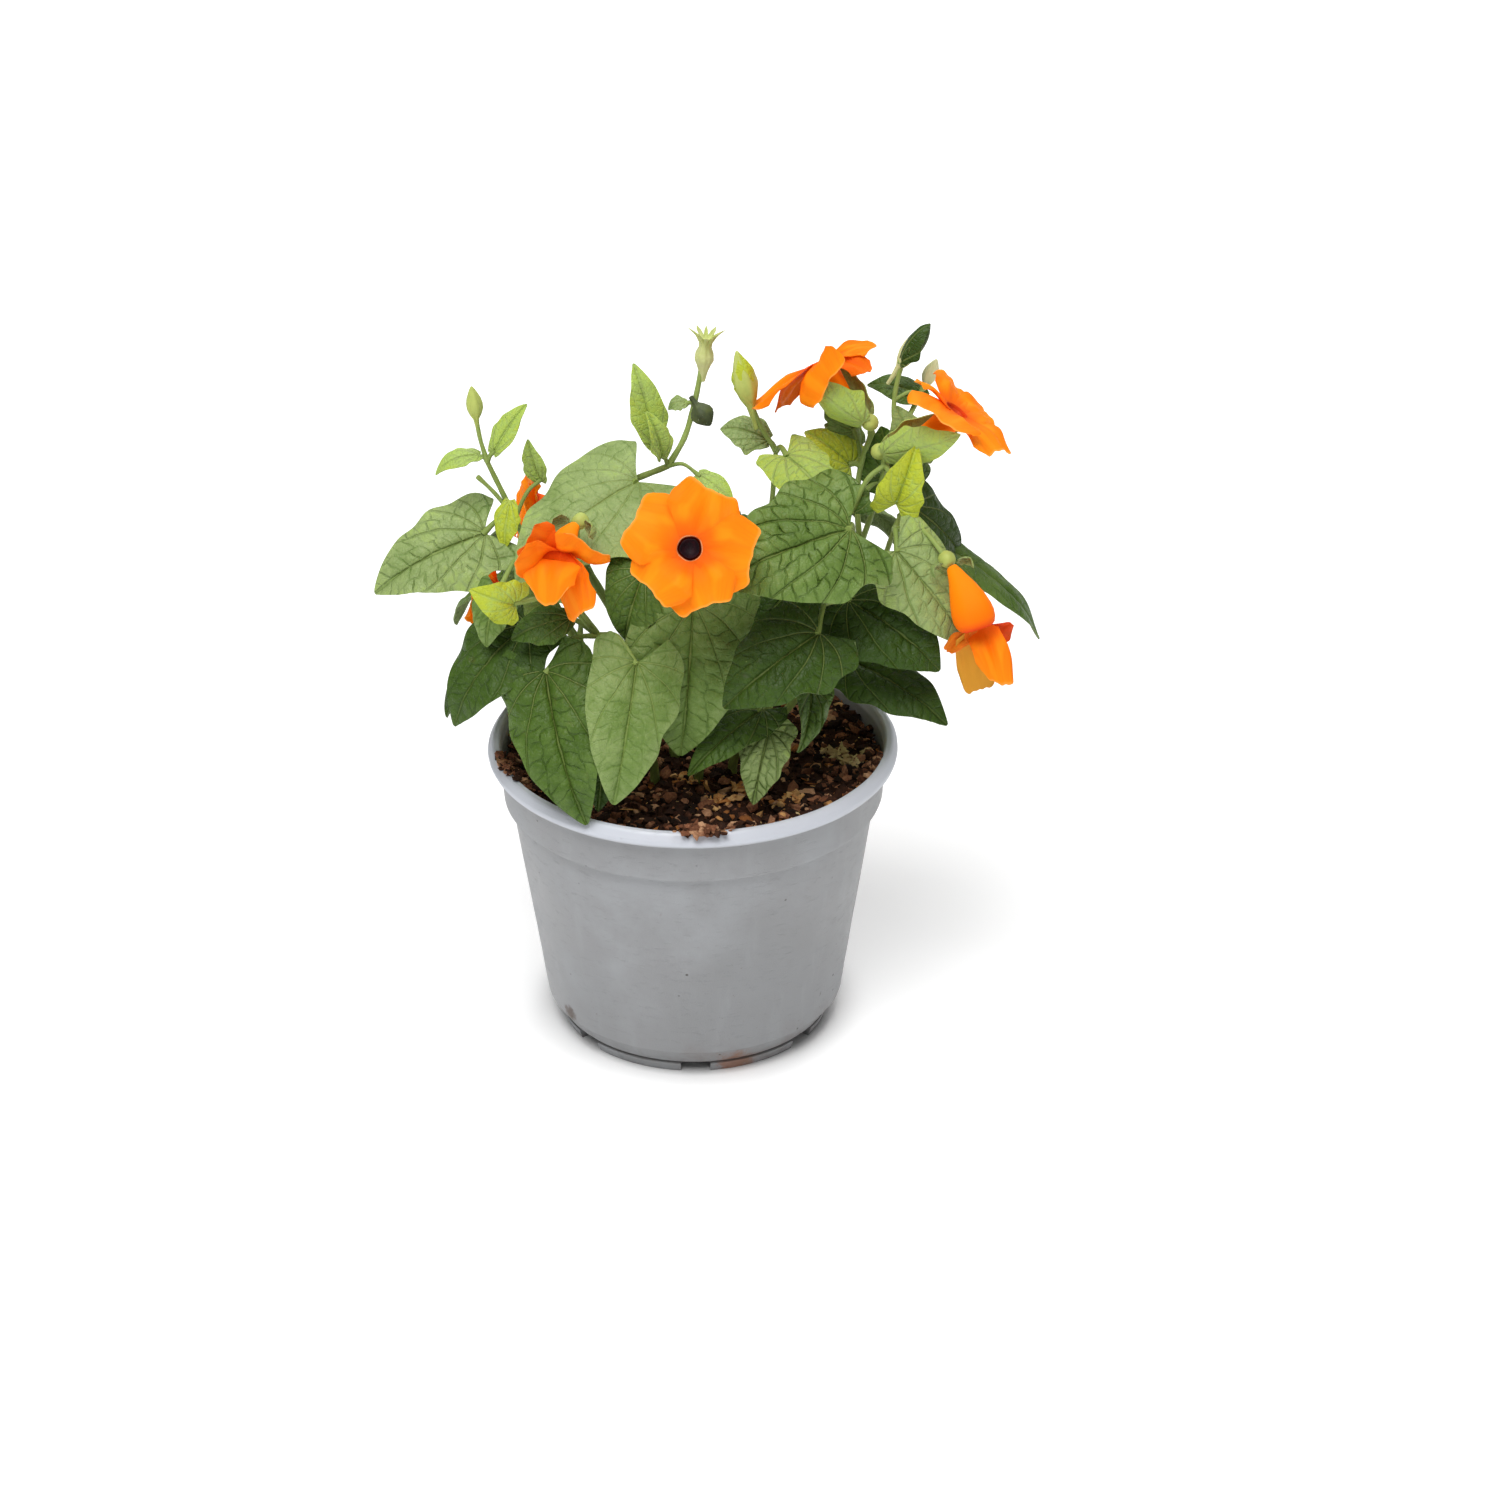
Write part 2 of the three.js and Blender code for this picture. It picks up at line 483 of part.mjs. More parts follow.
// The upper face of a leaf as a function of s (0 at the petiole, 1 at the tip) and t (-1 to 1 across).
// Each half is turned up by the fold, and arches down towards its edge.
function leafFace(joint, tip, face, width, bow, fold, twist) {
  const start = vector(joint);
  const reach = vector(tip).sub(start);
  const length = reach.length();
  const along = reach.clone().normalize();
  const up = vector(face);
  up.addScaledVector(along, -up.dot(along)).normalize();
  const side = along.clone().cross(up);
  const lift = radians(fold);
  const shape = width > GROWN_WIDTH ? GROWN : YOUNG;
  return (s, t) => {
    const turn = radians(twist) * s;
    const tooth = 1 + LEAF_TOOTH * Math.sin(Math.PI * 7 * s) * (1 - s) * t * t;
    const out = (width / 2) * leafWidth(s, shape) * tooth * Math.abs(t);
    const x = Math.sign(t) * out * Math.cos(lift);
    const z = out * Math.sin(lift) * 1.6 - (0.9 * out * out) / width;
    const back = shape.lobe * length * (1 - s) ** 3 * Math.abs(t) ** 1.2;
    return start.clone()
      .addScaledVector(reach, s)
      .addScaledVector(along, -back)
      .addScaledVector(side, x * Math.cos(turn) - z * Math.sin(turn))
      .addScaledVector(up, bow * 4 * s * (1 - s) + z * Math.cos(turn) + x * Math.sin(turn));
  };
}

function leafSolid(joint, tip, face, width, bow, fold, twist) {
  const [rows, columns] = width > LARGE_LEAF ? [4, 4] : [3, width > GROWN_WIDTH ? 4 : 2];
  return bladeSolid(leafFace(joint, tip, face, width, bow, fold, twist), rows, columns, BLADE, true);
}

// A petiole arches from its stem to the joint and runs on a little under the midrib.
function petioleSolid(from, joint, tip) {
  const start = vector(from);
  const end = vector(joint);
  const middle = start.clone().lerp(end, 0.5);
  middle.z += PETIOLE_RISE * start.distanceTo(end);
  end.add(vector(tip).sub(end).setLength(PETIOLE_ROOT));
  return tubeSolid([start, middle, end].map((p) => p.toArray()), PETIOLE_RADIUS, PETIOLE_SIDES, 2);
}

// ---------------------------------------------------------------- blooms

// A profile of [radius, height] turned round, then bent so that its height runs along the curve.
function turnedAlong(profile, curve, length, segments) {
  const lathe = new THREE.LatheGeometry(profile.map(([r, h]) => new THREE.Vector2(r, h)), segments);
  const place = lathe.getAttribute('position');
  for (let i = 0; i < place.count; i++) {
    const share = place.getY(i) / length;
    const ahead = curve.getTangentAt(THREE.MathUtils.clamp(share, 0, 1));
    const out = new THREE.Vector3(0, 0, 1).cross(ahead).normalize();
    const over = ahead.clone().cross(out);
    const p = curve.getPointAt(THREE.MathUtils.clamp(share, 0, 1));
    p.addScaledVector(out, place.getX(i)).addScaledVector(over, place.getZ(i));
    place.setXYZ(i, p.x, p.y, p.z);
  }
  return solidOf(lathe);
}

function tubeCurve(base, mouth, facing) {
  const start = vector(base);
  const end = vector(mouth);
  const reach = start.distanceTo(end);
  const bend = end.clone().addScaledVector(facing, -reach / 2);
  return new THREE.QuadraticBezierCurve3(start, bend, end);
}

// The petals of an even bloom, from its radius, its turn in degrees and how far each petal is lifted
// towards the way that the bloom faces, in degrees.
function evenPetals(mouth, ahead, { radius, turn, lifts }) {
  const first = new THREE.Vector3(0, 0, 1);
  first.addScaledVector(ahead, -first.dot(ahead)).normalize();
  return lifts.map((lift, k) => {
    const radial = first.clone().applyAxisAngle(ahead, radians(turn + (360 * k) / PETALS));
    const [along, across] = [Math.cos(radians(lift)), Math.sin(radians(lift))];
    const tip = mouth.clone().addScaledVector(radial, PETAL_START + along * (radius - PETAL_START));
    tip.addScaledVector(ahead, across * (radius - PETAL_START) - EVEN_ARCH);
    const face = ahead.clone().multiplyScalar(along).addScaledVector(radial, -across);
    return [tip.toArray(), face.toArray(), EVEN_WIDTH * radius, EVEN_ARCH, 0, PETAL_SKEW, 0];
  });
}

// The upper face of a petal: u runs from the throat outwards and v across. Its root follows the rim,
// and from there its sides turn to their own direction.
function petalFace(mouth, ahead, [tip, face, width, arch, cup, skew, round]) {
  const radial = vector(tip).sub(mouth);
  radial.addScaledVector(ahead, -radial.dot(ahead)).normalize();
  const tangent = ahead.clone().cross(radial);
  const start = mouth.clone().addScaledVector(radial, PETAL_START).addScaledVector(ahead, -PETAL_SUNK);
  const reach = vector(tip).sub(start);
  const length = reach.length();
  const out = reach.clone().normalize();
  const side = vector(face).cross(out).normalize();
  return (u, v) => {
    const wide = Math.min(PETAL_SECTOR * (PETAL_START + length * u), (width / 2) * (1 - 0.12 * u ** 4));
    const x = v * wide;
    const across = tangent.clone().lerp(side, Math.min(1, 2.5 * u)).normalize();
    const up = out.clone().cross(across).normalize();
    const square = PETAL_FLARE * v * v - PETAL_SHOULDER * Math.abs(v) ** 8;
    const end = (1 - round) * square - round * PETAL_ROUND * v * v + skew * v;
    const y = u * (1 + end * u * u);
    const rise = arch * Math.sin(Math.PI * u) ** 2 + cup * v * v * u;
    return start.clone()
      .addScaledVector(reach, y)
      .addScaledVector(across, x)
      .addScaledVector(up, PETAL_TILT * x * Math.min(1, 2 * u) + rise);
  };
}

function bloomSolids(base, mouth, facing, swell, shape) {
  const ahead = vector(facing).normalize();
  const centre = vector(mouth);
  const curve = tubeCurve(base, mouth, ahead);
  const length = curve.getLength();
  const rim = THROAT_RADIUS + TUBE_RIM;
  const tube = turnedAlong([
    [0, GAP], [TUBE_FOOT, GAP], [TUBE_RADIUS + swell, TUBE_WIDEST * length],
    [rim + swell / 2, TUBE_NECK * length], [rim, length],
    [THROAT_RADIUS, length], [THROAT_RADIUS - 0.4, length - THROAT_DEPTH], [0, length - THROAT_DEPTH],
  ], curve, length, TUBE_SIDES);
  const rows = Array.isArray(shape) ? shape : evenPetals(centre, ahead, shape);
  const petals = rows.map((row) => {
    const face = petalFace(centre, ahead, row);
    const spread = (v) => {
      const a = Math.abs(v);
      const beyond = PETAL_CORNER + (1 - PETAL_CORNER) * (1.5 * a - 0.5);
      return Math.sign(v) * Math.min(3 * PETAL_CORNER * a, beyond);
    };
    return bladeSolid((u, v) => face(u, spread(v)), 2, 3, PETAL, false);
  });
  const low = length - THROAT_DEPTH + GAP;
  const eye = turnedAlong([
    [0, low], [THROAT_RADIUS - 1.1, low], [THROAT_RADIUS - 0.6, length - 0.7],
    [1, length - 3], [0, length - 3.2],
  ], curve, length, TUBE_SIDES);
  return { corolla: joined([tube, ...petals]), eye };
}

// The receptacle and the pair of cupped bracts that clasp the tube of a bloom.
function bractSolids(base, mouth, facing, share) {
  const start = vector(base);
  const reach = start.distanceTo(vector(mouth));
  const curve = tubeCurve(base, mouth, vector(facing).normalize());
  const ahead = curve.getTangentAt(0.2);
  const out = new THREE.Vector3(0, 0, 1).cross(ahead).normalize();
  const width = BRACT_WIDTH * Math.min(1, BRACT_LEAST + share);
  const bracts = [1, -1].map((way) => {
    const side = out.clone().multiplyScalar(way);
    const joint = start.clone().addScaledVector(side, BRACT_START).addScaledVector(ahead, -1.5);
    const tip = start.clone().addScaledVector(ahead, share * reach).addScaledVector(side, BRACT_SPREAD);
    return leafSolid(joint.toArray(), tip.toArray(), side.toArray(), width, 2.5, -6, 0);
  });
  const forward = curve.getTangentAt(0);
  const upright = new THREE.Quaternion().setFromUnitVectors(new THREE.Vector3(0, 0, 1), forward);
  const centre = start.clone().addScaledVector(forward, -RECEPTACLE);
  const seat = new THREE.OctahedronGeometry(RECEPTACLE);
  seat.setIndex([...Array(seat.getAttribute('position').count).keys()]);
  seat.applyQuaternion(upright).translate(...centre.toArray());
  return [solidOf(seat), ...bracts];
}

// ---------------------------------------------------------------- buds

// A bud is a drop, and a spent calyx a cup that flares open where the flower has fallen.
const BUD_FORM = {
  closed: [[0, -0.5], [0.5, 0], [0.9, 0.35], [0.75, 0.65], [0.3, 0.92], [0, 1]],
  spent: [[0, -0.5], [0.5, 0], [0.7, 0.2], [0.45, 0.5], [1, 1], [0.35, 0.75], [0, 0.7]],
};

function budSolid(base, tip, radius, form) {
  const start = vector(base);
  const reach = vector(tip).sub(start);
  const length = reach.length();
  const curve = new THREE.LineCurve3(start, vector(tip));
  return turnedAlong(BUD_FORM[form].map(([r, h]) => [r * radius, h * length]), curve, length, BUD_SIDES);
}

// ---------------------------------------------------------------- a whole leafy stem

function vineMeshes(name, vine) {
  const [x, y] = vine.root;
  const roots = [[x, y, SOIL_TOP - ROOT_DEPTH], [x, y, SOIL_TOP + 5]];
  const paths = [];
  vine.stems.forEach(({ path }, k) => {
    const [[stem, point], ...rest] = path;
    paths.push(k === 0 ? [...roots, ...path] : [paths[stem][point], ...rest]);
  });
  const nodeAt = ([stem, point]) => paths[stem][point];
  const green = paths.map((path, k) => tubeSolid(path, vine.stems[k].radius, STEM_SIDES, path.length + 1));
  vine.leaves.forEach(([from, joint, tip, ...form]) => {
    green.push(petioleSolid(nodeAt(from), joint, tip), leafSolid(joint, tip, ...form));
  });
  const meshes = [];
  vine.blooms.forEach(([from, base, mouth, facing, swell, share, petals], k) => {
    const { corolla, eye } = bloomSolids(base, mouth, facing, swell, petals);
    meshes.push(meshOf(`${name}_corolla_${k + 1}`, corolla, 'petal'));
    meshes.push(meshOf(`${name}_eye_${k + 1}`, eye, 'eye'));
    green.push(...bractSolids(base, mouth, facing, share));
    const heel = base.map((c, n) => c - PEDICEL_ROOT * (mouth[n] - c));
    green.push(petioleSolid(nodeAt(from), heel, base));
  });
  vine.buds.forEach((bud) => green.push(budSolid(...bud)));
  return [meshOf(name, joined(green), vine.finish), ...meshes];
}

// ---------------------------------------------------------------- pot

// A closed profile of [radius, height] points, turned round the pot's axis.
function turned(profile, segments) {
  const lathe = new THREE.LatheGeometry(profile.map(([r, h]) => new THREE.Vector2(r, h)), segments);
  return solidOf(lathe.rotateX(Math.PI / 2));
}

function potSolid() {
  const shell = turned([
    [0, 0], [BOSS_RADIUS, 0], [BOSS_RADIUS + 1, FOOT_HEIGHT], [FOOT_RADIUS - FOOT_WIDTH, FOOT_HEIGHT],
    [FOOT_RADIUS - FOOT_WIDTH + 0.6, 0], [FOOT_RADIUS, 0], [FOOT_RADIUS + 0.6, FOOT_HEIGHT],
    [WALL_LOW_RADIUS - 0.8, BAND_HEIGHT - 0.4], [WALL_LOW_RADIUS, BAND_HEIGHT],
    [WALL_TOP_RADIUS, STEP_HEIGHT], [COLLAR_LOW_RADIUS, COLLAR_LOW], [COLLAR_TOP_RADIUS, LIP_BOTTOM],
    [LIP_RADIUS - 0.5, LIP_BOTTOM], [LIP_RADIUS, LIP_BOTTOM + 1], [LIP_RADIUS, POT_HEIGHT - 1.2],
    [LIP_RADIUS - 1, POT_HEIGHT], [COLLAR_TOP_RADIUS, POT_HEIGHT], [COLLAR_TOP_RADIUS - 0.6, POT_HEIGHT - 1],
    [COLLAR_LOW_RADIUS - WALL, COLLAR_LOW], [WALL_TOP_RADIUS - WALL, STEP_HEIGHT],
    [WALL_LOW_RADIUS - WALL, BAND_HEIGHT], [FOOT_RADIUS - WALL, FLOOR_TOP], [0, FLOOR_TOP],
  ], POT_SEGMENTS);
  const notches = Array.from({ length: NOTCH_COUNT }, (_, k) => {
    const box = new THREE.BoxGeometry(2 * FOOT_WIDTH + 4, NOTCH_WIDTH, 2 * FOOT_HEIGHT);
    box.translate(FOOT_RADIUS, 0, 0);
    return solidOf(box.rotateZ(radians(NOTCH_FIRST + (360 * k) / NOTCH_COUNT)));
  });
  const drains = Array.from({ length: DRAIN_COUNT }, (_, k) => {
    const hole = new THREE.CylinderGeometry(DRAIN_RADIUS, DRAIN_RADIUS, 4 * FLOOR_TOP, 8);
    hole.rotateX(Math.PI / 2).translate(DRAIN_CIRCLE, 0, 0);
    return solidOf(hole.rotateZ((2 * Math.PI * k) / DRAIN_COUNT));
  });
  return [...notches, ...drains].reduce((body, cut) => body.subtract(cut), shell);
}

// ---------------------------------------------------------------- soil

// A repeatable draw between 0 and 1, so that the crumbs always lie in the same places.
function seededDraw(seed) {
  let state = seed;
  return () => {
    state = (state * 1664525 + 1013904223) % 4294967296;
    return state / 4294967296;
  };
}

// The body of peat fills the pot to just below the lip, with a rough top.
function soilBody(draw) {
  const inner = (z) => {
    if (z <= BAND_HEIGHT) return FOOT_RADIUS - WALL - GAP;
    if (z >= STEP_HEIGHT) return WALL_TOP_RADIUS - WALL - GAP;
    const wall = THREE.MathUtils.mapLinear(z, BAND_HEIGHT, STEP_HEIGHT, WALL_LOW_RADIUS, WALL_TOP_RADIUS);
    return wall - WALL - GAP;
  };
  const profile = [[0, FLOOR_TOP + GAP], [FOOT_RADIUS - WALL - 2 * GAP, FLOOR_TOP + GAP]];
  [BAND_HEIGHT + GAP, STEP_HEIGHT].forEach((z) => profile.push([inner(z) - GAP, z]));
  profile.push([WALL_TOP_RADIUS - WALL, COLLAR_LOW + 2], [COLLAR_LOW_RADIUS - WALL - GAP, SOIL_TOP - 1]);
  const rim = COLLAR_LOW_RADIUS - WALL - 2 * GAP;
  for (let ring = SOIL_RINGS; ring >= 0; ring--) {
    profile.push([(rim * ring) / SOIL_RINGS, SOIL_TOP]);
  }
  const lathe = new THREE.LatheGeometry(profile.map(([r, h]) => new THREE.Vector2(r, h)), SOIL_SEGMENTS);
  const place = lathe.getAttribute('position');
  const lift = new Map();
  for (let i = 0; i < place.count; i++) {
    if (place.getY(i) < SOIL_TOP) continue;
    const spot = `${Math.round(10 * place.getX(i))} ${Math.round(10 * place.getZ(i))}`;
    if (!lift.has(spot)) lift.set(spot, SOIL_ROUGHNESS * (draw() - 0.4));
    const away = Math.hypot(place.getX(i), place.getZ(i)) / rim;
    place.setY(i, SOIL_TOP + lift.get(spot) + 2 * away ** 6);
  }
  return solidOf(lathe.rotateX(Math.PI / 2));
}

function crumbSolid(x, y, z, size, draw) {
  const crumb = new THREE.OctahedronGeometry(size, 0);
  crumb.setIndex([...Array(crumb.getAttribute('position').count).keys()]);
  crumb.scale(1, 0.75 + 0.4 * draw(), 0.6 + 0.4 * draw());
  crumb.rotateZ(2 * Math.PI * draw()).translate(x, y, z);
  return solidOf(crumb);
}

function soilSolid() {
  const draw = seededDraw(11);
  const parts = [soilBody(draw)];
  for (let k = 0; k < CRUMB_COUNT; k++) {
    const angle = 2 * Math.PI * draw();
    const out = CRUMB_REACH * Math.sqrt(draw());
    const size = CRUMB_SIZE * (0.75 + 0.6 * draw());
    parts.push(crumbSolid(out * Math.cos(angle), out * Math.sin(angle), SOIL_TOP + 1, size, draw));
  }
  // Crumbs heaped against the lip and spilled over it.
  SPILLS.forEach(([angle, reach]) => {
    const ahead = radians(angle);
    for (let step = 0; step <= reach; step++) {
      const out = SPILL_START + SPILL_STEP * step;
      const z = SOIL_TOP + SPILL_LIFTS[step];
      parts.push(crumbSolid(out * Math.cos(ahead), out * Math.sin(ahead), z, CRUMB_SIZE, draw));
    }
  });
  const holes = Object.values(VINES).map(({ root: [x, y], stems: [{ radius }] }) => {
    const wide = radius + HOLE_CLEARANCE;
    const hole = new THREE.CylinderGeometry(wide, wide, 3 * ROOT_DEPTH, 8).rotateX(Math.PI / 2);
    return solidOf(hole.translate(x, y, SOIL_TOP - ROOT_DEPTH - GAP + 1.5 * ROOT_DEPTH));
  });
  return joined([holes.reduce((body, hole) => body.subtract(hole), joined(parts))]);
}

// ---------------------------------------------------------------- the plant

const plant = new THREE.Group();
plant.add(meshOf('pot', potSolid(), 'pot'), meshOf('soil', soilSolid(), 'soil'));
Object.entries(VINES).forEach(([name, vine]) => plant.add(...vineMeshes(name, vine)));

export default plant;
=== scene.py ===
"""A black-eyed Susan vine (Thunbergia alata) in bloom, in a grey plastic nursery pot.

Lengths are millimetres until a mesh is made, +Z is up, and the origin lies on the pot's axis on the
surface that it stands on. Every leafy stem is dressed by two pieces, its foliage and its stalks, and
every bloom by a corolla and the dark eye in its throat.
"""
import logging
import math
from collections.abc import Callable
from dataclasses import dataclass, field
from enum import Enum
from typing import Any

import bpy
import numpy as np
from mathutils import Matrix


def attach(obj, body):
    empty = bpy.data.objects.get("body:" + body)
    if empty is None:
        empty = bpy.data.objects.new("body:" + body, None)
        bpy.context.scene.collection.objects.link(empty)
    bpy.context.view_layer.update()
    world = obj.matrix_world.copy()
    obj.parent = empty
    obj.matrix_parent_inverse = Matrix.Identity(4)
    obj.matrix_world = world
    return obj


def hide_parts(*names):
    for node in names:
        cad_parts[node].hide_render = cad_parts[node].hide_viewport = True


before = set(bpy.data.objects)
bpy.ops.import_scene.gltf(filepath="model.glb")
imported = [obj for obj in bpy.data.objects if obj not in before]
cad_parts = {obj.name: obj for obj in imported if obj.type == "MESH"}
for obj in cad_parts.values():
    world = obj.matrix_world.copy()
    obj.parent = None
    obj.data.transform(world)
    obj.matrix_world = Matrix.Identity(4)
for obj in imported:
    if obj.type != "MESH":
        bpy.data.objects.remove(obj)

log = logging.getLogger("potted_vine")

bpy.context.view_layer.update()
MM = 0.001
TURN = 2.0 * math.pi
VEIN_TURN = math.radians(33.0)
GROWN_WIDTH = 14.5
FULL_WIDTH = 34.0
TUBE_SIDE = 9.0
UP = (0.0, 0.0, 1.0)
Point = tuple[float, float, float]
Stops = tuple[tuple[float, str], ...]
Array = np.ndarray


# ---- what the plant is made of


class Tone(Enum):
    """Colour of a leaf: its place on the ramp from the oldest leaves to the youngest."""

    DARK = 0.0
    DEEP = 0.2
    MID = 0.4
    PALE = 0.6
    FRESH = 0.8
    YOUNG = 1.0


class BudForm(Enum):
    """Form of a bud: still closed, or a calyx whose flower has fallen."""

    CLOSED = "closed"
    SPENT = "spent"


class Skin(Enum):
    """What grows on a stalk's mesh, as its finish tells them apart."""

    STALK = 0.0
    BUD = 0.5
    HAIR = 1.0


class Bit(Enum):
    """Kind of a loose bit on the peat, as its finish tells them apart."""

    PEAT = 0.0
    BARK = 0.5
    GRAIN = 1.0


@dataclass(frozen=True)
class Stem:
    """A stem: its radius and the points that it runs through.

    The first stem of a vine starts at the root, and any other at (stem, point) of an earlier one.
    """

    radius: float
    path: tuple


@dataclass(frozen=True)
class Leaf:
    """A leaf on its petiole: the stem's point that it leaves from, joint and tip of the blade, the way
    its upper side looks, width, rise of the midrib, fold and twist in degrees, colour and quilting."""

    node: tuple[int, int]
    joint: Point
    tip: Point
    face: Point
    width: float
    bow: float
    fold: float
    twist: float
    tone: Tone
    quilt: float


@dataclass(frozen=True)
class Petal:
    """A petal: its tip, the direction that its face looks, width, arch along it, cup across it, how
    much longer it is on one side, how round its end is, how red it is, partly its own hue and partly painted
    shade on petals that lie in shade, and how faded it is."""

    tip: Point
    face: Point
    width: float
    arch: float
    cup: float
    skew: float
    round: float
    red: float = 0.0
    faded: float = 0.0


@dataclass(frozen=True)
class Bloom:
    """A bloom: where its pedicel leaves from, receptacle, mouth, facing, swelling of the tube, share
    of the tube that the bracts cover, petals, how orange its throat is, and its bracts' colour."""

    node: tuple[int, int]
    base: Point
    mouth: Point
    facing: Point
    swell: float
    clasp: float
    petals: tuple[Petal, ...]
    throat: float = 0.0
    bract: Tone = Tone.FRESH


@dataclass(frozen=True)
class Bud:
    """A bud: base, tip, greatest radius, form, and age from 0 for cream to 1 for dark green."""

    base: Point
    tip: Point
    radius: float
    form: BudForm
    age: float = 0.35


@dataclass(frozen=True)
class Vine:
    """A leafy stem with everything that grows on it."""

    name: str
    root: tuple[float, float]
    stems: tuple[Stem, ...]
    leaves: tuple[Leaf, ...]
    blooms: tuple[Bloom, ...] = ()
    buds: tuple[Bud, ...] = ()


def even_petals(
    mouth: Point, facing: Point, radius: float, turn: float, lifts: tuple[float, ...]
) -> tuple[Petal, ...]:
    """Spread the petals of an even bloom round its mouth.

    Args:
        mouth: Middle of the mouth.
        facing: Direction that the bloom faces.
        radius: Reach of a petal from the middle.
        turn: Turn of the first petal from the top, in degrees to the left.
        lifts: How far each petal is lifted towards the facing, in degrees.

    Returns:
        The petals.
    """
    root, arch, share, skew = 3.8, 1.3, 1.24, 0.03
    ahead = np.array(facing, float) / np.linalg.norm(facing)
    first = np.array(UP) - ahead[2] * ahead
    first /= np.linalg.norm(first)
    petals = []
    for order, lift in enumerate(lifts):
        around = math.radians(turn) + TURN * order / len(lifts)
        radial = math.cos(around) * first + math.sin(around) * np.cross(ahead, first)
        along, across = math.cos(math.radians(lift)), math.sin(math.radians(lift))
        tip = np.array(mouth) + radial * (root + along * (radius - root))
        tip = tip + ahead * (across * (radius - root) - arch)
        face = ahead * along - radial * across
        petals.append(Petal(tuple(tip.tolist()), tuple(face.tolist()), share * radius, arch, 0.0, skew, 0.0))
    return tuple(petals)


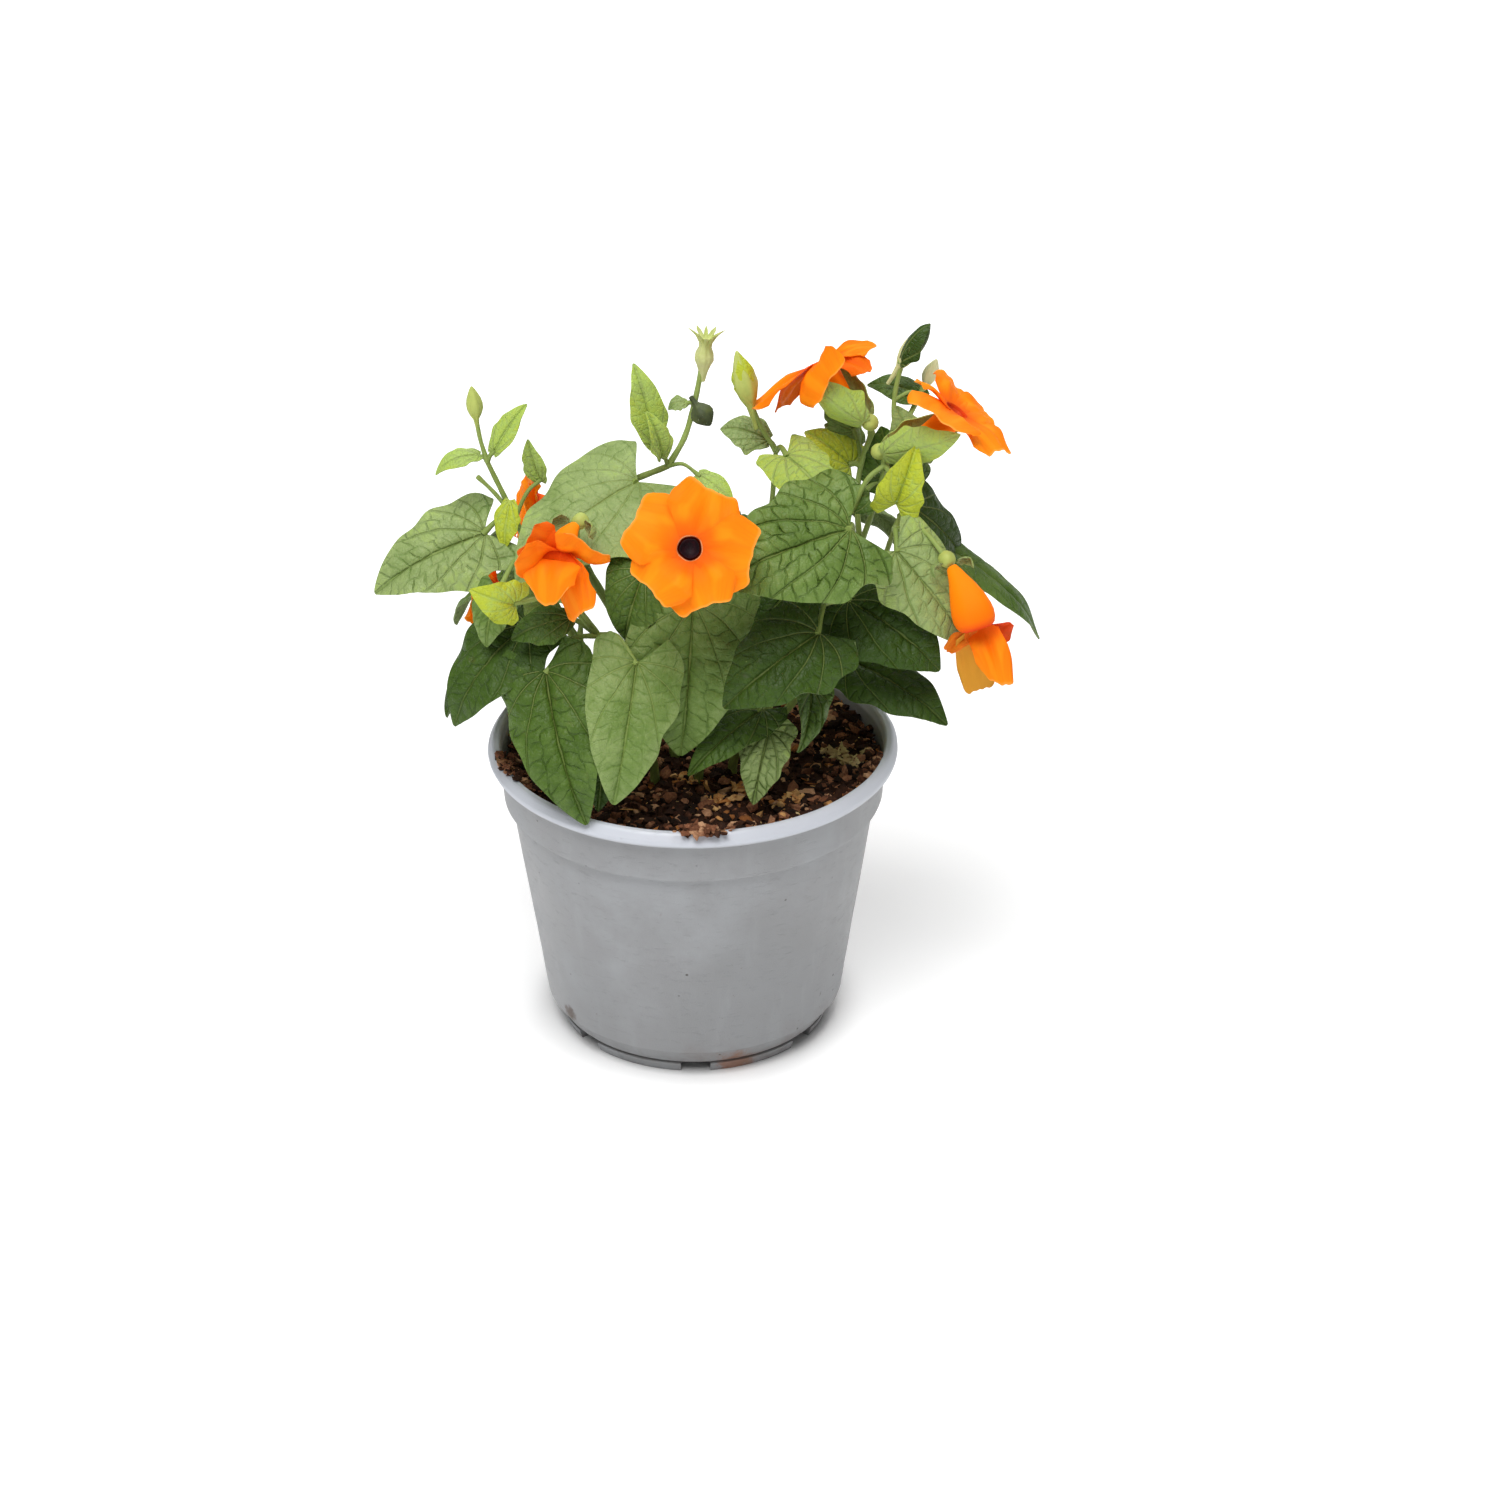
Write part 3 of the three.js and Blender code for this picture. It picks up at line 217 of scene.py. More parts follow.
VINES: tuple[Vine, ...] = (
    Vine(
        name="vine_front_left", root=(-12, -15),
        stems=(Stem(1.5, ((-15, -18, 108), (-22, -24, 130), (-28, -28, 148), (-33, -32, 158))),),
        leaves=(
            Leaf((0, 4), (-44, -38, 141), (-32, -59, 99), (-0.3, -0.8, 0.5), 33, 5, 10, 0, Tone.DEEP, 0.7),
            Leaf((0, 4), (-16, -42, 146), (-23, -59, 106), (0.1, -0.9, 0.4), 30, 4, 12, 0, Tone.MID, 0.35),
            Leaf((0, 3), (-27, -40, 119), (-28, -52, 100), (0.2, -0.8, 0.5), 15, 2, 10, 0, Tone.DARK, 0.6),
            Leaf((0, 5), (-36, -34, 157), (-54, -38, 152), (-0.1, -0.6, 0.8), 14, 2, 8, 0, Tone.DEEP, 0.6),
            Leaf((0, 4), (-50, -24, 150), (-73, -37, 122), (-0.6, -0.7, 0.4), 31, 5, 8, 0, Tone.DARK, 0.5),
            Leaf((0, 4), (-52, -41, 165), (-65, -46, 172), (-0.1, -0.9, 0.3), 15, 3, 10, 0, Tone.YOUNG, 0.3),
        ),
        blooms=(
            Bloom(
                (0, 5), (-34, -32, 186.5), (-38, -41, 181.5), (-0.2, -0.6, -0.78), 0, 0.3,
                (
                    Petal((-29.7, -47, 187.3), (-0.25, -0.83, -0.49), 23, 1.5, 0, 0.03, 0, 0.12, 0),
                    Petal((-32.1, -50, 166.1), (-0.61, -0.77, 0.21), 16, 1.5, 0, -0.08, 0.1, 0.08, 0),
                    Petal((-42, -53, 170.4), (-0.22, -0.65, 0.73), 18, 2, 2, 0, 1, 0.1, 0),
                    Petal((-51.2, -49, 180), (0.42, -0.78, -0.46), 17, 1, 0, 0, 0.9, 0.3, 0),
                    Petal((-47.6, -43, 187.4), (0.07, -0.97, -0.21), 16, 1, 0, 0, 0, 0.6, 0),
                ),
                1, Tone.PALE,
            ),
        ),
    ),
    Vine(
        name="vine_left", root=(-20, -3),
        stems=(
            Stem(1.5, ((-26, -4, 110), (-38, -5, 138), (-48, -3, 160), (-54, -2, 175), (-62, 0, 193))),
            Stem(0.7, ((0, 6), (-64, 0, 201), (-65, 0, 209))),
            Stem(0.7, ((0, 5), (-60, -1, 183), (-65, -2, 189))),
        ),
        leaves=(
            Leaf((0, 5), (-63, -6, 172), (-97, -16, 157), (-0.2, -0.7, 0.8), 32, 4, 8, 0, Tone.PALE, 0.7),
            Leaf((0, 4), (-58, -27, 163), (-62, -34, 147), (-0.3, -0.8, 0.4), 15, 2, 10, 0, Tone.MID, 0.5),
            Leaf((0, 5), (-55, -6, 183), (-57, -11, 169), (-0.4, -0.9, 0.3), 9, 1, 12, 0, Tone.YOUNG, 0.3),
            Leaf((0, 6), (-60, 0, 196), (-50, 3, 211), (-0.5, -0.8, 0.5), 9, 1, 20, 0, Tone.FRESH, 0.4),
            Leaf((0, 6), (-64, 0, 195), (-78, -2, 190), (0, -0.4, 0.9), 8, 3, 15, 0, Tone.FRESH, 0.2),
            Leaf((0, 5), (-46, 5, 184), (-50, 5, 198), (-0.3, -0.9, 0.3), 8, 1, 20, 0, Tone.FRESH, 0.3),
        ),
        buds=(Bud((-65, 0, 208), (-66, 0, 218), 2.6, BudForm.CLOSED),),
    ),
    Vine(
        name="vine_middle_left", root=(-6, 3),
        stems=(
            Stem(1.9, (
                (-10, 4, 110), (-22, 4, 135), (-34, 2, 160),
                (-36, 2, 172), (-24, 6, 181), (-7, 6, 189),
            )),
            Stem(0.9, ((0, 7), (-2, 7, 198), (1, 9, 208), (4, 10, 223))),
        ),
        leaves=(
            Leaf((0, 6), (-16, -3, 188), (-53, -26, 166), (-0.3, -0.6, 0.8), 44, 5, 6, 0, Tone.PALE, 0.35),
            Leaf((0, 7), (-11, 8, 195), (-17, 10, 221), (0.3, -0.9, 0.2), 12, 2, 15, 0, Tone.FRESH, 0.3),
            Leaf((0, 7), (-9, 3, 193), (-13, 1, 209), (0.5, -0.8, 0.2), 9, 2, 30, 0, Tone.FRESH, 0.3),
            Leaf((1, 2), (-1, 8, 209), (-7, 8, 207), (0, -0.5, 0.9), 6, 2, 10, 0, Tone.PALE, 0.3),
            Leaf((0, 7), (2, 4, 187), (13, -2, 181), (0.1, -0.6, 0.8), 9, 1, 10, 0, Tone.FRESH, 0.3),
        ),
        buds=(
            Bud((4, 10, 221), (5, 10, 232), 4.2, BudForm.SPENT, 0.15),
            Bud((2, 8, 208), (6, 7, 202), 3.6, BudForm.CLOSED, 1.0),
        ),
    ),
    Vine(
        name="vine_middle", root=(2, -14),
        stems=(Stem(1.5, ((3, -18, 110), (2, -21, 138), (-3, -22, 158), (-6, -22, 170))),),
        leaves=(
            Leaf((0, 4), (1, -29, 160), (-3, -43, 114), (0.1, -0.9, 0.4), 40, 5, 10, 0, Tone.MID, 0.6),
            Leaf((0, 5), (-14, -26, 168), (-20, -33, 149), (-0.2, -0.9, 0.4), 23, 3, 8, 0, Tone.DEEP, 0.5),
            Leaf((0, 5), (-16, -16, 171), (-30, -12, 176), (-0.1, -0.7, 0.7), 15, 2, 8, 0, Tone.MID, 0.5),
            Leaf((0, 2), (22, -27, 122), (-1, -43, 108), (0, -0.6, 0.8), 16, 3, 10, 0, Tone.DEEP, 0.7),
            Leaf((0, 2), (24, -31, 117), (19, -44, 98), (-0.1, -0.8, 0.6), 17, 2, 8, 0, Tone.PALE, 1),
        ),
        blooms=(
            Bloom(
                (0, 5), (0.5, -38, 182), (0.5, -58, 191.5), (0, -0.88, 0.48), 0, 0.78,
                (
                    Petal((7, -49.9, 206.4), (0, -0.88, 0.48), 22.5, 1, 0, 0.07, 0),
                    Petal((18.5, -59.5, 189.1), (0, -0.88, 0.48), 24, 1, 0, 0.06, 0),
                    Petal((5, -66.1, 176.6), (0, -0.88, 0.48), 22, 1, 0, -0.05, 0),
                    Petal((-11.5, -64.1, 181.6), (0, -0.88, 0.48), 21, 2, 0, 0, 0),
                    Petal((-15.7, -53.9, 199.1), (0, -0.88, 0.48), 22.5, 1, 0, 0, 0),
                ),
            ),
        ),
    ),
    Vine(
        name="vine_middle_right", root=(13, -9),
        stems=(Stem(1.5, ((20, -12, 108), (32, -15, 132), (42, -18, 155), (49, -24, 180))),),
        leaves=(
            Leaf((0, 5), (48, -33, 186), (8, -45, 174), (-0.1, -0.75, 0.65), 42, 5, 8, 0, Tone.MID, 1.0),
            Leaf((0, 4), (39, -36, 153), (10, -50, 135), (-0.1, -0.8, 0.6), 32, 4, 8, 0, Tone.DARK, 0.55),
            Leaf((0, 4), (48, -24, 158), (76, -35, 140), (0.2, -0.7, 0.7), 32, 4, 6, 0, Tone.DARK, 0.7),
            Leaf((0, 3), (37, -22, 126), (33, -38, 113), (0.3, -0.8, 0.5), 15, 3, 20, 50, Tone.DEEP, 0.8),
            Leaf((0, 4), (33, -9, 157), (20, -14, 143), (0, -0.8, 0.6), 24, 3, 8, 0, Tone.DARK, 0.6),
        ),
    ),
    Vine(
        name="vine_right", root=(19, 1),
        stems=(Stem(1.5, ((30, 0, 108), (44, -2, 132), (57, -5, 157), (62, -14, 177))),),
        leaves=(
            Leaf((0, 5), (62, -27, 176), (84, -32, 147), (0.2, -0.85, 0.45), 26, 4, 8, 0, Tone.PALE, 0.6),
            Leaf((0, 3), (48, -14, 133), (79, -30, 119), (0.1, -0.5, 0.9), 25, 3, 6, 0, Tone.DARK, 0.6),
            Leaf((0, 5), (73, 0, 167), (110, 2, 133), (0.55, -0.1, 0.85), 24, 4, 8, 0, Tone.DEEP, 0.4),
            Leaf((0, 5), (68, -4, 180), (84, 4, 159), (0.2, -0.6, 0.8), 22, 2, 8, 0, Tone.DARK, 0.5),
            Leaf((0, 4), (64, -5, 146), (78, -4, 138), (0.2, -0.5, 0.8), 14, 2, 8, 0, Tone.DARK, 0.5),
        ),
        blooms=(
            Bloom(
                (0, 5), (78.5, -32, 173), (86.5, -45, 158.6), (0.3, -0.4, -0.85), 2.4, 0.1,
                (
                    Petal((93, -50, 142.7), (0.1, -0.93, 0.35), 10.5, 1.5, 0, 0.16, 0.4, 0.1, 0),
                    Petal((94.5, -40, 151.4), (-0.3, -0.85, 0.43), 13, 1, 0, 0, 0.7, 0.85, 0),
                    Petal((87.9, -38, 134.4), (-0.1, -0.93, 0.35), 13, 1, 0, -0.1, 0.3, 0, 0.9),
                    Petal((77.2, -39, 148.2), (-0.2, -0.9, 0.4), 5, 1, 0, 0, 0.6, 0.6, 0.3),
                    Petal((84.6, -32.5, 140), (-0.1, 0.9, 0.4), 8, 1, 0, 0, 0.6, 0.4, 0.3),
                ),
                1, Tone.PALE,
            ),
        ),
    ),
    Vine(
        name="vine_upper_right", root=(16, 11),
        stems=(
            Stem(1.5, ((28, 10, 110), (42, 6, 138), (52, 0, 165), (57, -9, 187), (59, -9, 196))),
            Stem(0.8, ((0, 6), (62, 2, 200), (62, 8, 210), (64, 10, 221))),
            Stem(0.8, ((1, 1), (67, 9, 205), (72, 14, 214))),
            Stem(0.9, ((0, 4), (51, 5, 178), (52, 4, 190), (55, 1, 202))),
        ),
        leaves=(
            Leaf(
                (1, 3), (63.2, 8.6, 221.8), (72, 8.5, 235), (-0.65, -0.5, 0.5), 8.5, 2.2, -12, 0,
                Tone.DARK, 0.3,
            ),
            Leaf((1, 3), (65, 8.6, 221), (73, 9, 234.2), (0.6, -0.6, -0.45), 7, 2, -12, 0, Tone.DARK, 0.3),
            Leaf((0, 6), (49, -14, 182), (42, -3, 192), (0.1, -0.9, 0.3), 16, 1, 16, 0, Tone.DEEP, 0.3),
            Leaf(
                (0, 6), (62, -18, 187), (68, -18.5, 206.5), (-0.1, -0.95, 0.1), 16.5, 2, 25, 0,
                Tone.YOUNG, 0.4,
            ),
            Leaf((3, 2), (49, 4, 190), (35, 5, 201), (0.1, -0.7, 0.7), 16, 2, 12, 0, Tone.YOUNG, 0.5),
            Leaf((3, 2), (52, 9, 194), (41, 8, 202), (0, -0.8, 0.6), 13, 2, 10, 0, Tone.PALE, 0.5),
            Leaf((3, 2), (50, 6, 201), (41, 6, 213), (0, -0.9, 0.4), 12, 1, 10, 0, Tone.MID, 0.3),
            Leaf((1, 1), (68, 8, 190), (63, 5, 209), (0.2, -0.9, 0.3), 18, 2, 10, 0, Tone.PALE, 0.4),
            Leaf((1, 2), (72, 12, 209), (54, 14, 213), (0, -0.4, 0.9), 12, 2, 10, 0, Tone.DEEP, 0.4),
            Leaf((3, 1), (63, 6, 184), (58, 3, 203), (-0.1, -0.9, 0.4), 22, 2, 8, 0, Tone.DEEP, 0.6),
        ),
        blooms=(
            Bloom(
                (0, 6), (60, -9, 201), (80, -12, 215.4), (0.57, 0.06, 0.82), 0, 1,
                (
                    Petal((92.1, -23.1, 206.7), (0.57, 0.06, 0.82), 19, 1.3, 0, 0.03, 0),
                    Petal((73.4, -27.7, 219.7), (0.56, 0.03, 0.83), 25, 1, 0, 0.03, 0),
                    Petal((67.5, -9.7, 224.1), (0.63, 0.05, 0.78), 9, 1, 0, 0.03, 0.5),
                    Petal((79.4, 3.5, 217.9), (0.59, -0.23, 0.78), 17, 1.3, 0, 0.03, 0),
                    Petal((90.8, -2.8, 208.2), (0.47, -0.02, 0.88), 17, 1.3, 0, 0.03, 0),
                ),
                0.9, Tone.FRESH,
            ),
            Bloom(
                (3, 3), (52, -4, 210), (39.5, 2, 225.4), (-0.4, 0.4, 0.82), 0, 0.9,
                (
                    Petal((40.8, -12, 222.5), (-0.83, -0.18, 0.53), 24, 4, -1, 0.03, 0.2, 0, 0),
                    Petal((19.3, 1, 211.1), (-0.36, 0.01, 0.93), 16, 1, -1, 0.03, 0.3, 0.12, 0),
                    Petal((27.3, 11, 205.8), (-0.38, 0.13, 0.92), 12, 1, 0, 0.03, 0.4, 0.6, 0),
                    Petal((56.1, 6, 228.9), (-0.35, -0.03, 0.93), 8, 1, 0, 0.03, 0.6, 0.1, 0),
                    Petal((54.4, -2, 223.8), (-0.37, 0.05, 0.93), 10, 1, 0, 0.03, 0.6, 0.5, 0),
                ),
                1, Tone.FRESH,
            ),
        ),
        buds=(
            Bud((64, 10, 221), (72, 10, 234), 3, BudForm.CLOSED, 0.1),
            Bud((72, 14, 213), (75, 14, 221), 2.4, BudForm.CLOSED, 0.0),
        ),
    ),
    Vine(
        name="vine_upper_middle", root=(6, 8),
        stems=(
            Stem(1.4, ((12, 9, 110), (18, 8, 140), (24, 4, 170), (26, 4, 195))),
            Stem(0.8, ((0, 5), (21, 1.4, 205), (18, 1.2, 213))),
        ),
        leaves=(
            Leaf(
                (1, 2), (17.4, 0.4, 212.5), (12.6, -0.6, 222.5), (-0.6, -0.8, 0.1), 5.5, 1.3, -10, 0,
                Tone.YOUNG, 0.2,
            ),
            Leaf((1, 2), (18.6, 0.4, 212.5), (15.2, 0, 228), (0.45, -0.9, 0), 8, 2, -10, 0, Tone.YOUNG, 0.2),
            Leaf((0, 5), (29, -4, 197), (45, -27, 188), (-0.1, -0.5, 0.9), 20, 3, 8, 0, Tone.FRESH, 0.5),
            Leaf((0, 5), (24, 7, 197), (9, 10, 200), (-0.1, -0.5, 0.9), 14, 2, 10, 0, Tone.PALE, 0.5),
        ),
        buds=(Bud((18, 1.2, 212), (14, 1.2, 229), 3.6, BudForm.CLOSED),),
    ),
    Vine(
        name="vine_back", root=(-3, 16),
        stems=(Stem(1.5, ((-6, 22, 108), (-10, 30, 128), (-12, 36, 148))),),
        leaves=(
            Leaf((0, 4), (-10, 44, 148), (-16, 62, 108), (-0.1, 0.85, 0.5), 36, 5, 10, 0, Tone.MID, 0.8),
            Leaf((0, 4), (-25, 45, 152), (-44, 62, 124), (-0.4, 0.7, 0.6), 32, 5, 8, 0, Tone.DEEP, 0.7),
            Leaf((0, 4), (-12, 30, 162), (-32, 27, 158), (-0.1, 0.1, 1), 26, 4, 8, 0, Tone.PALE, 0.5),
            Leaf((0, 4), (2, 42, 156), (8, 57, 140.5), (0.1, 0.7, 0.7), 29, 4, 8, 0, Tone.MID, 0.8),
        ),
        blooms=(
            Bloom(
                (0, 3), (-1, 46, 110), (2, 68, 120), (0.2, 0.9, 0.4), 0, 0.78,
                even_petals((2, 68, 120), (0.2, 0.9, 0.4), 18.5, 8, (0, 3, -3, 0, 0)),
            ),
        ),
    ),
    Vine(
        name="vine_back_right", root=(8, 17),
        stems=(Stem(1.5, ((14, 22, 108), (22, 30, 126), (30, 36, 142))),),
        leaves=(
            Leaf((0, 4), (34, 44, 146), (36, 64, 118), (0.2, 0.85, 0.5), 32, 5, 10, 0, Tone.DEEP, 0.8),
            Leaf((0, 4), (46, 26, 150), (80, 30, 128), (0.4, 0.3, 0.9), 34, 5, 8, 0, Tone.MID, 0.8),
            Leaf((0, 4), (26, 24, 158), (4, 18, 160), (0, 0.1, 1), 28, 4, 8, 0, Tone.DEEP, 0.6),
            Leaf((0, 3), (46, 30, 122), (66, 40, 103), (0.5, 0.5, 0.7), 26, 4, 8, 0, Tone.DARK, 0.7),
            Leaf((0, 4), (44, 40, 162), (66, 50, 142), (0.4, 0.6, 0.7), 28, 4, 8, 0, Tone.MID, 0.8),
        ),
    ),
    Vine(
        name="vine_back_left", root=(-13, 8),
        stems=(Stem(1.5, ((-24, 12, 106), (-36, 16, 124), (-46, 16, 140))),),
        leaves=(
            Leaf((0, 4), (-52, 32, 140), (-78, 42, 118), (-0.6, 0.3, 0.8), 32, 5, 8, 0, Tone.MID, 0.8),
            Leaf((0, 3), (-48, 28, 118), (-58, 42, 101), (-0.6, 0.7, 0.5), 22, 3, 8, 0, Tone.DARK, 0.6),
            Leaf((0, 4), (-56, 6, 130), (-78, -8, 110), (-0.8, -0.2, 0.7), 28, 4, 8, 0, Tone.DARK, 0.7),
            Leaf((0, 4), (-46, 36, 158), (-64, 50, 140), (-0.5, 0.5, 0.7), 28, 4, 8, 0, Tone.DEEP, 0.7),
        ),
        blooms=(
            Bloom(
                (0, 4), (-46, 6, 144), (-62, 10, 143), (-0.95, 0.2, 0.1), 0, 0.78,
                even_petals((-62, 10, 143), (-0.95, 0.2, 0.1), 13, 0, (40, 45, 40, 45, 40)),
            ),
            Bloom(
                (0, 3), (-32, 18, 166), (-49, 15, 171), (-0.95, -0.1, 0.25), 0, 0.78,
                even_petals((-49, 15, 171), (-0.95, -0.1, 0.25), 12, 0, (35, 40, 35, 35, 40)),
            ),
        ),
    ),
)


# ---- numbers


def unit(v: Array) -> Array:
    """Give vectors the length 1.

    Args:
        v: Vectors along the last axis.

    Returns:
        The same directions, each divided by its length.
    """
    return v / np.maximum(np.linalg.norm(v, axis=-1, keepdims=True), 1e-9)


def smoothstep(low: float, high: float, x: Array) -> Array:
    """Rise smoothly from 0 at low to 1 at high, as 3 q squared less 2 q cubed of the share q."""
    q = np.clip((x - low) / (high - low), 0.0, 1.0)
    return q * q * (3.0 - 2.0 * q)


def ripples(x: Array, y: Array, seed: int, shortest: float, longest: float, count: int = 22) -> Array:
    """Uneven relief: a sum of sines in drawn directions, each as high as its wavelength is long.

    Args:
        x: First coordinate.
        y: Second coordinate.
        seed: What the draw starts from.
        shortest: Shortest wavelength.
        longest: Longest wavelength.
        count: How many sines are summed.

    Returns:
        Relief of about -1 to 1.
    """
    draw = np.random.default_rng(seed)
    wave = np.geomspace(shortest, longest, count)
    angle = draw.uniform(0.0, TURN, count)
    phase = draw.uniform(0.0, TURN, count)
    size = np.sqrt(wave / wave.sum())
    along = x[..., None] * np.cos(angle) + y[..., None] * np.sin(angle)
    return (size * np.sin(TURN / wave * along + phase)).sum(-1)


def circle(sides: int) -> Array:
    """Give the angles of evenly spaced corners round a ring."""
    return np.linspace(0.0, TURN, sides, endpoint=False)


def wheel(angle: Array, across: Array, over: Array) -> Array:
    """Point outwards from a ring's middle at each angle, from across at 0 towards over at a quarter."""
    return np.cos(angle)[:, None] * across[..., None, :] + np.sin(angle)[:, None] * over[..., None, :]


def walked(path: Array) -> Array:
    """Give the distance along a path from its start to each sample."""
    return np.concatenate([[0.0], np.cumsum(np.linalg.norm(np.diff(path, axis=0), axis=1))])


def bell(x: Array, reach: float) -> Array:
    """Fall off as a bell round 0: e to the power of less the square of x over its reach."""
    return np.exp(-((x / reach) ** 2))


def smooth_path(points: Array, steps: int) -> Array:
    """Run a centripetal Catmull-Rom curve through points.

    Between two points the curve is the cubic with their tangents, which come from the neighbours
    weighted by the square roots of the distances; the end spans use a mirrored neighbour.

    Args:
        points: Points, one row each.
        steps: Samples in each span.

    Returns:
        Samples from the first point to the last.
    """
    p = np.vstack([2 * points[0] - points[1], points, 2 * points[-1] - points[-2]])
    gap = np.sqrt(np.maximum(np.linalg.norm(np.diff(p, axis=0), axis=1), 1e-6))[:, None]
    a, b, c, d = p[:-3], p[1:-2], p[2:-1], p[3:]
    d0, d1, d2 = gap[:-2], gap[1:-1], gap[2:]
    t1 = ((b - a) / d0 - (c - a) / (d0 + d1) + (c - b) / d1) * d1
    t2 = ((c - b) / d1 - (d - b) / (d1 + d2) + (d - c) / d2) * d1
    t = np.linspace(0.0, 1.0, steps, endpoint=False)[None, :, None]
    b, c, t1, t2 = b[:, None], c[:, None], t1[:, None], t2[:, None]
    run = b + t1 * t + (3 * c - 3 * b - 2 * t1 - t2) * t**2 + (2 * b - 2 * c + t1 + t2) * t**3
    return np.vstack([run.reshape(-1, 3), points[-1]])


# ---- meshes


class Shell:
    """Gathers closed surfaces, in millimetres, into one mesh with its traits."""

    sharp = math.radians(52)

    def __init__(self) -> None:
        """Start empty."""
        self.places: list[Array] = []
        self.faces: list[Array] = []
        self.traits: list[dict[str, Array]] = []
        self.count = 0

    def add(self, places: Array, faces: Array, **traits: Any) -> None:
        """Add a closed surface.

        Args:
            places: Corners, one row each.
            faces: Four corners a face, or three and -1.
            traits: Values of three numbers that the finish varies by, one row or a row a corner.
        """
        self.places.append(places)
        self.faces.append(np.where(faces < 0, -1, faces + self.count))
        self.traits.append({k: np.broadcast_to(v, (len(places), 3)) for k, v in traits.items()})
        self.count += len(places)

    def piece(self, name: str, material: bpy.types.Material, slot: str, *nodes: str) -> bpy.types.Object:
        """Make the mesh and let it stand for its nodes.

        Args:
            name: Name of the piece.
            material: Its finish.
            slot: Material slot of the record; not used.
            nodes: Nodes that it stands for.

        Returns:
            The finished object, at the origin.
        """
        places = np.concatenate(self.places) * MM
        faces = np.concatenate(self.faces)
        corners = faces.ravel()
        corners = corners[corners >= 0]
        sizes = np.where(faces[:, 3] < 0, 3, 4)
        mesh = bpy.data.meshes.new(name)
        mesh.vertices.add(len(places))
        mesh.vertices.foreach_set("co", places.ravel())
        mesh.loops.add(len(corners))
        mesh.loops.foreach_set("vertex_index", corners.astype(np.int32))
        mesh.polygons.add(len(faces))
        mesh.polygons.foreach_set("loop_start", (np.cumsum(sizes) - sizes).astype(np.int32))
        mesh.polygons.foreach_set("use_smooth", np.ones(len(faces), dtype=bool))
        for key in self.traits[0]:
            values = np.concatenate([traits[key] for traits in self.traits])
            mesh.attributes.new(key, "FLOAT_VECTOR", "POINT").data.foreach_set("vector", values.ravel())
        mesh.update(calc_edges=True)
        mesh.validate()
        mesh.set_sharp_from_angle(angle=self.sharp)
        mesh.materials.append(material)
        piece = bpy.data.objects.new(name, mesh)
        bpy.context.scene.collection.objects.link(piece)
        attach(piece, "root")
        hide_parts(*nodes)
        log.info("%s: %d faces for %s", name, len(faces), ", ".join(nodes))
        return piece


def grid_faces(rows: int, columns: int, ring: bool = False) -> Array:
    """Number the quads of a grid of points.

    Args:
        rows: Its rows.
        columns: Points of a row.
        ring: Whether the last column joins the first.

    Returns:
        Four corners a quad.
    """
    index = np.arange(rows * columns).reshape(rows, columns)
    if ring:
        index = np.hstack([index, index[:, :1]])
    a, b, c, d = index[:-1, :-1], index[:-1, 1:], index[1:, 1:], index[1:, :-1]
    return np.stack([a, b, c, d], -1).reshape(-1, 4)


def slab(upper: Array, lower: Array) -> tuple[Array, Array]:
    """Close two like grids into a thin body: both faces, and a strip of quads round the edge.

    Args:
        upper: Upper face, rows by columns by 3.
        lower: Lower face on the same grid.

    Returns:
        Corners and faces.
    """
    rows, columns = upper.shape[:2]
    count = rows * columns
    index = np.arange(count).reshape(rows, columns)
    top = grid_faces(rows, columns)
    edge = np.concatenate([index[0, :-1], index[:-1, -1], index[-1, :0:-1], index[:0:-1, 0]])
    after = np.roll(edge, -1)
    rim = np.stack([after, edge, edge + count, after + count], -1)
    places = np.concatenate([upper.reshape(-1, 3), lower.reshape(-1, 3)])
    return places, np.concatenate([top, top[:, ::-1] + count, rim])


def closed_rings(rings: Array) -> tuple[Array, Array]:
    """Close a stack of rings with a pole at each end.

    Args:
        rings: Rings by corners by 3, turning left round the way that they follow each other.

    Returns:
        Corners and faces.
    """
    rows, sides = rings.shape[:2]
    places = np.concatenate([rings.reshape(-1, 3), rings[:1].mean(1), rings[-1:].mean(1)])
    around = np.arange(sides)
    following = np.roll(around, -1)
    last = (rows - 1) * sides
    none = np.full(sides, -1)
    start = np.stack([following, around, np.full(sides, rows * sides), none], -1)
    end = np.stack([last + around, last + following, np.full(sides, rows * sides + 1), none], -1)
    return places, np.concatenate([grid_faces(rows, sides, ring=True), start, end])


def carried(path: Array, radius: Array, sides: int, lobes: float = 0.0) -> Array:
    """Carry a circle along a path: at each sample a ring square to the path's tangent.

    Args:
        path: Samples, one row each.
        radius: Radius at each sample.
        sides: Corners of a ring.
        lobes: Depth of four soft ribs along the tube, as a share of the radius.

    Returns:
        Rings by corners by 3.
    """
    ahead = unit(np.gradient(path, axis=0))
    axis = np.eye(3)[np.argmin(np.abs(ahead).sum(0))]
    across = unit(np.cross(ahead, axis))
    over = np.cross(ahead, across)
    angle = circle(sides)
    reach = radius[:, None] * (1.0 + lobes * np.cos(4.0 * angle))
    return path[:, None] + reach[..., None] * wheel(angle, across, over)


